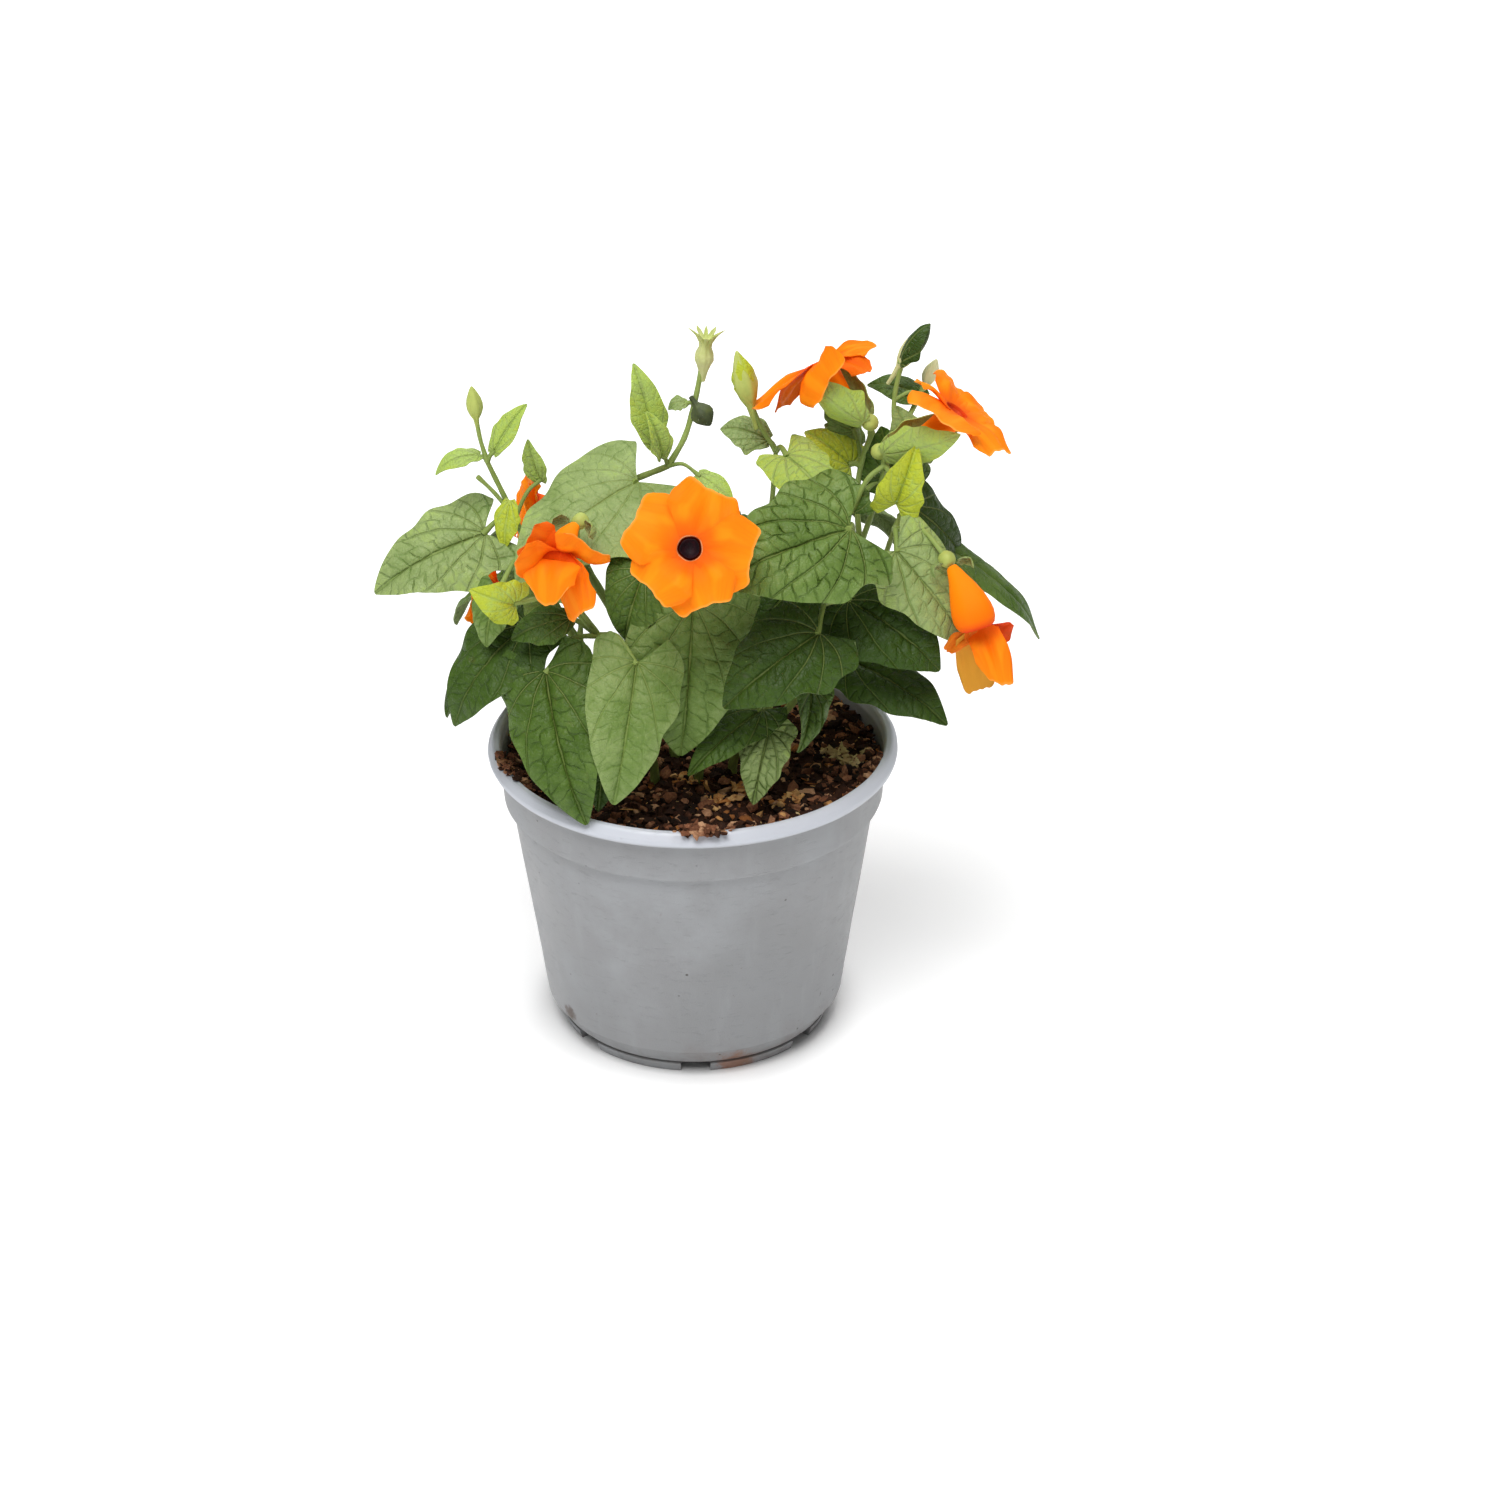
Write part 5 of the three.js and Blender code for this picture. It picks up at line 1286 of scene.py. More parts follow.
def bract_leaves(bloom: Bloom) -> tuple[Leaf, Leaf]:
    """Give the pair of cupped bracts that clasp a bloom's tube, as leaves of their own.

    Args:
        bloom: The bloom.

    Returns:
        The bracts on either side of the tube.
    """
    aside, behind, spread, full_width = 2.9, 1.5, 7.0, 13.0
    bow, fold, twist, quilt = 2.5, -6.0, 0.0, 0.3
    path, ahead, _ = throat_curve(bloom)
    forward = ahead[len(ahead) // 5]
    reach = bloom.clasp * float(np.linalg.norm(np.array(bloom.mouth) - path[0]))
    width = full_width * min(1.0, 0.25 + bloom.clasp)
    pair = []
    for way in (1.0, -1.0):
        out = way * unit(np.cross(UP, forward))
        joint = path[0] + aside * out - behind * forward
        tip = path[0] + reach * forward + spread * out
        place = tuple(joint), tuple(tip), tuple(out)
        pair.append(Leaf(bloom.node, *place, width, bow, fold, twist, bloom.bract, quilt))
    return pair[0], pair[1]


# ---- finishes


def paint(code: str) -> tuple[float, float, float, float]:
    """Give a colour in the linear values that shaders take.

    Args:
        code: Six hex digits.

    Returns:
        Red, green, blue and 1.
    """
    share = np.array([int(code[k : k + 2], 16) for k in (0, 2, 4)]) / 255.0
    linear = np.where(share <= 0.04045, share / 12.92, ((share + 0.055) / 1.055) ** 2.4)
    return (*linear.tolist(), 1.0)


def operator(operation: str, turned: bool = False) -> Callable[..., "Value"]:
    """Give the method by which one of Python's operators adds a Math node.

    Args:
        operation: The node's operation.
        turned: Whether the other number comes first.

    Returns:
        The method.
    """

    def method(value: "Value", *others: Any) -> "Value":
        """Add the node."""
        return value.recipe.maths(operation, *((*others, value) if turned else (value, *others)))

    return method


class Value:
    """A socket of numbers, on which Python's operators add Math nodes."""

    def __init__(self, recipe: "Recipe", socket: bpy.types.NodeSocket) -> None:
        """Wrap a socket of a recipe."""
        self.recipe = recipe
        self.socket = socket

    __add__, __radd__ = operator("ADD"), operator("ADD", turned=True)
    __sub__, __rsub__ = operator("SUBTRACT"), operator("SUBTRACT", turned=True)
    __mul__, __rmul__ = operator("MULTIPLY"), operator("MULTIPLY", turned=True)
    __truediv__, __rtruediv__ = operator("DIVIDE"), operator("DIVIDE", turned=True)
    __pow__, __rpow__ = operator("POWER"), operator("POWER", turned=True)
    __abs__ = operator("ABSOLUTE")


class Recipe:
    """Builds the nodes of one material."""

    def __init__(self, name: str) -> None:
        """Start a material with an empty tree.

        Args:
            name: The material's name.
        """
        self.material = bpy.data.materials.new(name)
        self.material.use_nodes = True
        self.tree = self.material.node_tree
        self.tree.nodes.clear()
        self.place = self.value("TexCoord", {}, {}, "Object")

    def node(self, kind: str, settings: dict[str, Any], values: dict[Any, Any]) -> bpy.types.Node:
        """Add a node.

        Args:
            kind: Its type, without the leading ShaderNode.
            settings: What is set first; stops are the places and colours of a ramp.
            values: Values or links of its sockets, by name or number.

        Returns:
            The node.
        """
        node = self.tree.nodes.new("ShaderNode" + kind)
        for key, value in settings.items():
            if key == "stops":
                band = node.color_ramp
                for _ in range(len(value) - len(band.elements)):
                    band.elements.new(0.5)
                for element, (place, colour) in zip(band.elements, value):
                    element.position, element.color = place, colour
            else:
                setattr(node, key, value)
        for key, value in values.items():
            if isinstance(value, Value):
                self.tree.links.new(value.socket, node.inputs[key])
            else:
                node.inputs[key].default_value = value
        return node

    def value(self, kind: str, settings: dict[str, Any], values: dict[Any, Any], out: Any = 0) -> Value:
        """Add a node and wrap one of its outputs."""
        return Value(self, self.node(kind, settings, values).outputs[out])

    def maths(self, operation: str, *values: Any) -> Value:
        """Add a Math node."""
        return self.value("Math", {"operation": operation}, dict(enumerate(values)))

    def trait(self, name: str) -> tuple[Value, Value, Value]:
        """Read the three numbers of a mesh's trait."""
        return self.parts(self.value("Attribute", {"attribute_name": name}, {}, "Vector"))

    def parts(self, vector: Value) -> tuple[Value, Value, Value]:
        """Split a vector into its three numbers."""
        split = self.node("SeparateXYZ", {}, {0: vector})
        return tuple(Value(self, socket) for socket in split.outputs)

    def joined(self, x: Any, y: Any, z: Any) -> Value:
        """Join three numbers into a place."""
        return self.value("CombineXYZ", {}, {0: x, 1: y, 2: z})

    def noise(
        self, scale: float, detail: float = 3.0, rough: float = 0.55, place: Value | None = None
    ) -> Value:
        """Give soft noise of about 0.3 to 0.7."""
        values = {"Vector": place or self.place, "Scale": scale, "Detail": detail, "Roughness": rough}
        return self.value("TexNoise", {}, values)

    def cells(self, scale: float, feature: str, place: Value | None = None) -> Value:
        """Give the distance in a field of cells: to the nearest centre (F1) or edge."""
        values = {"Vector": place or self.place, "Scale": scale}
        return self.value("TexVoronoi", {"feature": feature}, values, "Distance")

    def rise(self, value: Value, low: float, high: float, start: float = 0.0, end: float = 1.0) -> Value:
        """Carry low..high smoothly over to start..end, level beyond them."""
        values = {"Value": value, "From Min": low, "From Max": high, "To Min": start, "To Max": end}
        return self.value("MapRange", {"interpolation_type": "SMOOTHSTEP"}, values)

    def ramp(self, value: Value, stops: Stops) -> Value:
        """Colour numbers by stops of place and colour."""
        colours = [(place, paint(code)) for place, code in stops]
        return self.value("ValToRGB", {"stops": colours}, {0: value}, "Color")

    def mix(self, share: Any, first: Any, second: Any) -> Value:
        """Mix two colours, given as links or hex digits."""
        first, second = (paint(c) if isinstance(c, str) else c for c in (first, second))
        return self.value("Mix", {"data_type": "RGBA"}, {0: share, 6: first, 7: second}, 2)

    def coats(self, colour: Any, *coats: tuple[Any, Any]) -> Value:
        """Lay coats over a colour in order.

        Args:
            colour: What lies lowest.
            *coats: Share and colour of each coat.

        Returns:
            The mixed colour.
        """
        for share, coat in coats:
            colour = self.mix(share, colour, coat)
        return colour

    def finish(
        self, colour: Any, roughness: Any, height: Value | None, relief: float, **others: Any
    ) -> bpy.types.Material:
        """Join colour, roughness and relief in the surface.

        Args:
            colour: Colour link.
            roughness: Roughness number or link.
            height: Relief of 0 to 1, or none.
            relief: How high 1 stands, in metres.
            **others: Other sockets of the surface, with underscores for spaces.

        Returns:
            The material.
        """
        values = {"Base Color": colour, "Roughness": roughness}
        values |= {key.replace("_", " "): value for key, value in others.items()}
        if height is not None:
            bump = {"Strength": 1.0, "Distance": relief, "Height": height}
            values["Normal"] = self.value("Bump", {}, bump)
        surface = self.value("BsdfPrincipled", {}, values)
        self.node("OutputMaterial", {}, {"Surface": surface})
        return self.material


@dataclass(frozen=True)
class FoliageFinish:
    """Leaf green from dark to young, with paler veins, a fine net between them, a dull underside, and painted
    shade that darkens the grooves between the quilted pillows.
    """

    greens: Stops = (
        (0.0, "314a0e"), (0.2, "45601b"), (0.4, "66803a"), (0.6, "8fa264"), (0.8, "a6c05c"), (1.0, "b2bf32"),
    )
    vein: str = "a9b568"
    under: str = "9aa874"
    scorch: str = "6b5a34"

    def make(self) -> bpy.types.Material:
        """Make the material.

        Veins are found by the formula that the blade's relief has, from the place in the blade.

        Returns:
            The material.
        """
        r = Recipe("foliage")
        x, y, below = r.trait("spot")
        half, long, _ = r.trait("form")
        tone, quilt, seed = r.trait("tone")
        veins = venation(r.maths, r.rise, x, y, long, seed)
        fading = r.rise(veins.out, 0.1, 0.75, 1.0, 0.15) * r.rise(veins.sectors, 3.2, 3.8, 1.0, 0.0)
        lines = r.rise(veins.main, 0.08, 0.3, 1.0, 0.0) * fading
        midrib = r.rise(abs(x), 0.1, 0.42, 1.0, 0.0) * r.rise(veins.out, 0.2, 1.0, 1.0, 0.35)
        lines = r.maths("MAXIMUM", lines, midrib)
        sheet = r.joined(x, y, seed * 31.7)
        net = r.cells(0.62, "DISTANCE_TO_EDGE", sheet)
        grooves = 1.05 * veins.patch * r.rise(veins.minor, 0.03, 0.45, 1.0, 0.0)
        grooves = r.maths("MAXIMUM", grooves, r.rise(veins.main, 0.03, 0.6, 1.0, 0.0))
        cloud = r.noise(0.07, 2.0, 0.5, sheet)
        mottle = r.noise(0.5, 4.0, 0.6, sheet)
        sun = r.rise(abs(x) / half + 0.8 * veins.out, 0.7, 1.5)
        shade = tone + 0.34 * (cloud - 0.5) + 0.26 * (mottle - 0.5)
        # painted shade: the green runs darker in the grooves between the quilted pillows and near the main
        # veins
        shade = shade - 0.16 * grooves * (0.35 + 0.65 * quilt) + 0.07 * sun
        burnt = r.rise(r.noise(0.12, 5.0, 0.65, sheet), 0.62, 0.78)
        flecks = r.rise(r.cells(0.55, "F1", sheet), 0.1, 0.05)
        flecks = flecks * r.rise(r.noise(0.25, 1.0, 0.5, sheet), 0.62, 0.7)
        green = r.coats(
            r.ramp(shade, self.greens),
            (0.3 * lines, self.vein),
            (0.5 * below, self.under),
            (0.25 * burnt, self.scorch),
            (0.5 * flecks, self.vein),
        )
        height = (1.0 - grooves) * quilt + 0.22 * r.rise(net, 0.0, 0.16) + 0.25 * mottle
        height = height - 0.25 * lines + 1.4 * below * lines
        gloss = 0.4 + 0.16 * mottle + 0.3 * below
        return r.finish(green, gloss, height, 0.0004, Specular_IOR_Level=0.28)


@dataclass(frozen=True)
class StalkFinish:
    """Stalks from young green to old brown-green, streaked lengthways, with pale hairs."""

    stalk: Stops = ((0.0, "98ac5c"), (0.3, "7f9447"), (0.6, "74783a"), (0.85, "665634"), (1.0, "4a3826"))
    husk: Stops = ((0.0, "dad9a8"), (0.3, "b4c063"), (0.6, "8c9c4a"), (1.0, "424c30"))
    hair: str = "c9cfae"

    def make(self) -> bpy.types.Material:
        """Make the material, whose trait holds the age and the kind of skin.

        Returns:
            The material.
        """
        r = Recipe("stalks")
        age, _, kind = r.trait("stalk")
        grain = r.noise(420.0, 4.0, 0.6)
        cloud = r.noise(60.0, 3.0, 0.5)
        shade = age + 0.5 * (cloud - 0.5) + 0.2 * (grain - 0.5)
        colour = r.coats(
            r.ramp(shade, self.stalk),
            (r.maths("GREATER_THAN", kind, 0.25), r.ramp(shade, self.husk)),
            (r.maths("GREATER_THAN", kind, 0.75), self.hair),
        )
        return r.finish(colour, 0.5 + 0.25 * grain, grain, 0.00025, Specular_IOR_Level=0.4)


@dataclass(frozen=True)
class PetalFinish:
    """Orange petals: a dark thin ring at the throat, an orange-red blush, faint lighter streaks that are
    partly painted highlights, sides partly in painted shade, and a faint glow of their own colour that is
    painted light standing in for light through them.
    """

    oranges: Stops = (
        (0.0, "7a1d06"), (0.13, "e39a66"), (0.19, "b82c06"), (0.33, "de4504"), (0.5, "f26602"),
        (0.68, "fa7c00"), (1.0, "ff8c08"),
    )
    margin: str = "ffb65a"
    bright: str = "ffa216"
    deep: str = "e85604"
    streak: str = "e85d04"
    under: str = "f57c08"
    hot: str = "c22c02"
    withered: str = "c08a2a"

    def make(self) -> bpy.types.Material:
        """Make the material, whose traits hold the way out and across, the side, the hue, partly painted
        shade, and the age.

        Returns:
            The material.
        """
        r = Recipe("petals")
        heat, across, below = r.trait("tint")
        red, faded, _ = r.trait("mood")
        cloud = r.noise(90.0, 3.0, 0.5)
        lane = r.joined(across * 11.0, heat * 1.3, below * 7.0)
        streak = r.noise(1.0, 4.0, 0.6, lane)
        rib = r.noise(3.2, 3.0, 0.6, lane)
        shade = heat + 0.08 * (cloud - 0.5) + 0.1 * (streak - 0.5)
        petal = 1.0 - r.maths("GREATER_THAN", abs(across), 2.0)
        bands = r.noise(1.0, 2.0, 0.5, r.joined(across * 2.2, heat * 1.4, below * 3.0 + red))
        edge = r.rise(abs(across) / (0.4 + 0.6 * heat), 0.955, 0.99)
        edge = r.maths("MAXIMUM", r.rise(heat, 0.965, 0.995), edge)
        colour = r.coats(
            r.ramp(shade, self.oranges),
            (0.26 * (r.rise(streak, 0.36, 0.5, 1.0, 0.0) * petal), self.streak),
            # partly painted highlight: lighter bands along the petal stand in for light on its folds, besides
            # its own lighter streaks
            (0.6 * r.rise(bands, 0.46, 0.64) * r.rise(heat, 0.4, 0.6) * petal, self.bright),
            # partly painted shade: deeper orange along the petal's sides, less towards its end, besides its
            # own deeper orange
            (0.4 * (r.rise(abs(across), 0.4, 0.95) * r.rise(heat, 0.75, 1.0, 1.0, 0.2) * petal), self.deep),
            (0.6 * edge * petal, self.margin),
            (0.4 * below, self.under),
            # partly painted shade: the shift to red-orange also darkens petals that lie in shade
            (red, self.hot),
            (faded, self.withered),
        )
        height = 0.35 * streak + 0.2 * rib + 0.12 * r.noise(2600.0, 2.0, 0.5)
        gloss = 0.5 + 0.2 * cloud + 0.1 * streak
        # painted light: the petals glow faintly with their own colour, standing in for light that shines
        # through them
        glow = {"Emission_Color": colour, "Emission_Strength": 0.1}
        return r.finish(colour, gloss, height, 0.0002, Specular_IOR_Level=0.12, **glow)


@dataclass(frozen=True)
class EyeFinish:
    """The throat's dark purple, velvety, or the orange-red of a bloom without a dark eye."""

    dark: Stops = ((0.3, "140308"), (0.55, "260611"), (0.75, "3a0a14"))
    orange: Stops = ((0.3, "c93402"), (0.75, "e84c05"))

    def make(self) -> bpy.types.Material:
        """Make the material, whose trait holds how orange the throat is.

        Returns:
            The material.
        """
        r = Recipe("eye")
        orange, _, _ = r.trait("spot")
        grain = r.noise(1500.0, 3.0, 0.6)
        cloud = r.noise(500.0, 2.0, 0.5)
        colour = r.mix(orange, r.ramp(cloud, self.dark), r.ramp(cloud, self.orange))
        return r.finish(colour, 0.55 + 0.3 * grain, grain, 0.0002, Specular_IOR_Level=0.3)


@dataclass(frozen=True)
class PlasticFinish:
    """Moulded grey plastic: clouded by dried water, scuffed, with dark specks and smears of earth, a painted
    highlight along the lip and painted shadow lines under its steps.
    """

    plastic: str = "919294"
    bleached: str = "9fa1a4"
    dull: str = "868788"
    earth: str = "6a5140"
    rust: str = "8a5a3e"
    lip_highlight: str = "d0d4dd"
    shadow_line: str = "5e5c5a"
    smudge: str = "4a3426"
    speck: str = "3c342e"
    step_shadows: tuple[tuple[float, float], ...] = ((0.0794, 0.0009), (0.0092, 0.0008), (0.0036, 0.0007))
    smear: Point = (-0.0388, -0.0272, 0.012)
    marks: tuple[Point, ...] = (
        (-0.0042, -0.0582, 0.0865), (0.0122, -0.0513, 0.0556), (0.0399, -0.0275, 0.0198),
    )
    stain: Point = (0.0135, -0.042, 0.0018)

    def make(self) -> bpy.types.Material:
        """Make the material.

        Returns:
            The material.
        """
        r = Recipe("grey_plastic")
        x, y, z = r.parts(r.place)
        cloud = r.noise(26.0, 5.0, 0.62)
        fog = r.noise(11.0, 3.0, 0.5)
        runs = r.noise(1.0, 5.0, 0.65, r.joined(x * 95.0, y * 95.0, z * 14.0))
        specks = r.rise(r.cells(150.0, "F1"), 0.03, 0.09, 1.0, 0.0) * r.rise(r.noise(40.0, 2.0), 0.47, 0.6)
        dust = r.rise(r.noise(900.0, 3.0, 0.7), 0.66, 0.76) * r.rise(r.noise(22.0, 3.0), 0.42, 0.64)
        smears = self.spot(r, self.smear, 0.0042, 420.0)
        for mark in self.marks:
            smears = smears + self.spot(r, mark, 0.0013, 900.0)
        low = r.rise(z, 0.0, 0.02, 1.0, 0.0) * r.rise(r.noise(70.0, 4.0, 0.7), 0.45, 0.7)
        # painted shadow: a thin dark line at each of these heights, under the collar's step, the band's step
        # and the foot's groove
        first, *others = (r.rise(abs(z - height), 0.0, reach, 1.0, 0.0) for height, reach in self.step_shadows)
        colour = r.coats(
            self.plastic,
            (r.rise(cloud, 0.4, 0.66), self.bleached),
            (0.65 * r.rise(fog, 0.42, 0.62), self.dull),
            (0.4 * r.rise(runs, 0.5, 0.72), self.bleached),
            (0.85 * specks, self.speck),
            (0.5 * dust, self.earth),
            (0.9 * smears, self.smudge),
            (0.8 * self.spot(r, self.stain, 0.008, 300.0), self.rust),
            (0.35 * low, self.earth),
            # painted highlight: the rolled lip above 93.5 mm is lighter, as if lit from above
            (0.85 * r.rise(z, 0.0935, 0.0952), self.lip_highlight),
            # painted shadow lines under the steps of the wall
            (0.75 * sum(others, first), self.shadow_line),
        )
        grain = r.noise(1900.0, 3.0, 0.6)
        scuff = r.noise(1.0, 6.0, 0.7, r.joined(x * 220.0, y * 220.0, z * 900.0))
        height = 0.35 * grain + 0.35 * r.rise(scuff, 0.55, 0.7) + 0.6 * specks + 0.25 * cloud
        gloss = 0.36 + 0.24 * r.rise(cloud, 0.35, 0.65) + 0.14 * r.rise(scuff, 0.5, 0.7) + 0.2 * dust
        return r.finish(colour, gloss, height, 0.00016, Specular_IOR_Level=0.5)

    def spot(self, r: Recipe, middle: Point, reach: float, scale: float) -> Value:
        """Give a ragged spot, 1 inside and fading to 0 at its edge.

        Args:
            r: The material's recipe.
            middle: Its middle, in metres.
            reach: Its radius.
            scale: Fineness of its ragged edge.

        Returns:
            The spot's strength.
        """
        dx, dy, dz = (value - number for value, number in zip(r.parts(r.place), middle))
        away = r.maths("SQRT", dx * dx + dy * dy + dz * dz) + 1.4 * reach * (r.noise(scale, 5.0, 0.65) - 0.5)
        return r.rise(away, 0.35 * reach, reach, 1.0, 0.0)


@dataclass(frozen=True)
class PeatFinish:
    """Dark brown peat with reddish bark and a few pale grains."""

    peat: Stops = ((0.0, "1a100a"), (0.35, "43281a"), (0.65, "8d5b40"), (1.0, "d0a27c"))
    bark: Stops = ((0.0, "7a4826"), (0.5, "c98548"), (1.0, "f0bf80"))
    pale: Stops = ((0.0, "a17c4a"), (1.0, "e6cf9a"))

    def make(self) -> bpy.types.Material:
        """Make the material, whose trait holds the shade and the kind of bit.

        Returns:
            The material.
        """
        r = Recipe("peat")
        shade, kind, _ = r.trait("grain")
        clod = r.noise(260.0, 5.0, 0.7)
        grit = r.noise(1400.0, 4.0, 0.7)
        tone = shade + 0.5 * (clod - 0.5) + 0.5 * (grit - 0.5)
        colour = r.coats(
            r.ramp(tone, self.peat),
            (r.maths("GREATER_THAN", kind, 0.25), r.ramp(tone, self.bark)),
            (r.maths("GREATER_THAN", kind, 0.75), r.ramp(tone, self.pale)),
        )
        height = 0.7 * clod + 0.5 * grit
        return r.finish(colour, 0.88 + 0.1 * grit, height, 0.0012, Specular_IOR_Level=0.2)


# ---- pot and soil


def rounded(corners: Array, reach: float, steps: int) -> Array:
    """Round the corners of an open profile.

    Each inner corner gives way to the quadratic curve that it governs, between the two points on its
    sides that lie at the reach or at 0.4 of the side.

    Args:
        corners: Radius and height, one row each.
        reach: How far the rounding goes from each corner.
        steps: Samples of each corner.

    Returns:
        The rounded profile.
    """
    before, here, after = corners[:-2], corners[1:-1], corners[2:]
    t = np.linspace(0.0, 1.0, steps)[None, :, None]

    def toward(there: Array) -> Array:
        """Step from each corner towards a neighbour."""
        long = np.linalg.norm(there - here, axis=1, keepdims=True)
        return (here + (there - here) / long * np.minimum(reach, 0.4 * long))[:, None]

    curve = (1 - t) ** 2 * toward(before) + 2 * t * (1 - t) * here[:, None] + t * t * toward(after)
    return np.vstack([corners[:1], curve.reshape(-1, 2), corners[-1:]])


@dataclass
class Pot:
    """The grey plastic pot: a rolled lip, a collar, a tapered wall and a notched foot."""

    lip_radius: float = 65.0
    lip_bottom: float = 94.0
    height: float = 98.5
    collar_top: float = 61.5
    collar_low: float = 60.3
    collar_low_height: float = 80.0
    step_height: float = 79.2
    wall_top: float = 58.0
    wall_low: float = 48.0
    band_height: float = 9.5
    foot_radius: float = 43.2
    foot_width: float = 3.4
    foot_height: float = 3.5
    wall: float = 1.4
    floor_top: float = 5.5
    boss: float = 9.0
    notch_width: float = 9.5
    notch_count: int = 7
    notch_first: float = -89.0
    drain_radius: float = 4.0
    drain_circle: float = 30.0
    drain_count: int = 5
    drain_sides: int = 40
    sides: int = 224
    step: float = 2.0
    sharp: float = math.radians(40)

    def profile(self) -> Array:
        """Give the profile of the wall.

        Returns:
            Radius and height, from the axis below to the axis inside.
        """
        foot, rise, lip, rim = self.foot_radius, self.foot_height, self.lip_radius, self.lip_bottom
        inner, band, collar = foot - self.foot_width, self.band_height, self.collar_top
        corners = [
            (0.4, 0.0), (self.boss, 0.0), (self.boss + 1, rise), (inner, rise), (inner + 0.6, 0.0),
            (foot, 0.0), (foot + 1.0, rise - 0.3), (foot + 0.2, rise + 0.1), (foot + 1.2, rise + 0.9),
            (self.wall_low - 1.5, band - 0.2), (self.wall_low, band), (self.wall_top, self.step_height),
            (self.collar_low, self.collar_low_height), (collar, rim), (lip - 0.5, rim), (lip, rim + 1),
            (lip - 0.1, rim + 2), (lip - 1.3, self.height - 0.6), (lip - 2, self.height),
            (collar, self.height), (collar - 0.6, self.height - 1),
            (self.collar_low - self.wall, self.collar_low_height),
            (self.wall_top - self.wall, self.step_height), (self.wall_low - self.wall, band),
            (foot - self.wall, self.floor_top), (0.4, self.floor_top),
        ]
        return rounded(np.array(corners), 0.3, 4)

    def build(self, material: bpy.types.Material) -> bpy.types.Object:
        """Turn the profile round, cut the notches and drain holes, and dress the pot.

        The wall is a little out of round: its radius varies by sums of sines over angle and height.

        Args:
            material: Its finish.

        Returns:
            The pot.
        """
        profile = self.profile()
        walk = walked(profile)
        extra = np.arange(0.0, walk[-1], self.step)
        places = np.unique(np.concatenate([walk, extra]).round(4))
        angle = circle(self.sides)
        r, z = (np.interp(places, walk, profile[:, k])[:, None] + 0.0 * angle for k in (0, 1))
        uneven = ripples(60.0 * np.cos(angle) + 0.0 * z, 60.0 * np.sin(angle) + z, 5, 14, 60)
        r = r + 0.1 * uneven * smoothstep(44.0, 52.0, r)
        rings = np.stack([r * np.cos(angle), r * np.sin(angle), z], -1)
        shell = Shell()
        shell.add(*closed_rings(rings), grain=(0.0, 0.0, 0.0))
        pot = shell.piece("grey_pot", material, "pot", "pot")
        self.cut(pot)
        return pot

    def cut(self, pot: bpy.types.Object) -> None:
        """Cut the foot's notches and the drain holes out of the pot.

        Args:
            pot: The pot, whose mesh is replaced by the cut one.
        """
        tools = Shell()
        across = np.array([-1.0, -1.0, 1.0, 1.0]) * self.notch_width / 2.0
        reach = self.foot_radius + np.array([-1.0, 1.0, 1.0, -1.0]) * (self.foot_width + 2.0)
        for way in np.radians(self.notch_first) + circle(self.notch_count):
            x = reach * math.cos(way) - across * math.sin(way)
            y = reach * math.sin(way) + across * math.cos(way)
            tools.add(*self.prism(x, y, -3.0, self.foot_height), grain=(0.0, 0.0, 0.0))
        around = circle(self.drain_sides)
        for way in circle(self.drain_count):
            x = self.drain_circle * math.cos(way) + self.drain_radius * np.cos(around)
            y = self.drain_circle * math.sin(way) + self.drain_radius * np.sin(around)
            tools.add(*self.prism(x, y, -2.0, self.floor_top + 3.0), grain=(0.0, 0.0, 0.0))
        cutter = tools.piece("pot_cutter", pot.active_material, "pot", "pot")
        modifier = pot.modifiers.new("cuts", "BOOLEAN")
        modifier.operation, modifier.solver, modifier.object = "DIFFERENCE", "EXACT", cutter
        graph = bpy.context.evaluated_depsgraph_get()
        mesh = bpy.data.meshes.new_from_object(pot.evaluated_get(graph))
        pot.modifiers.clear()
        pot.data = mesh
        mesh.set_sharp_from_angle(angle=self.sharp)
        bpy.data.objects.remove(cutter)

    def prism(self, x: Array, y: Array, low: float, high: float) -> tuple[Array, Array]:
        """Raise an outline from one height to another."""
        return closed_rings(np.stack([np.stack([x, y, np.full(len(x), z)], -1) for z in (low, high)]))


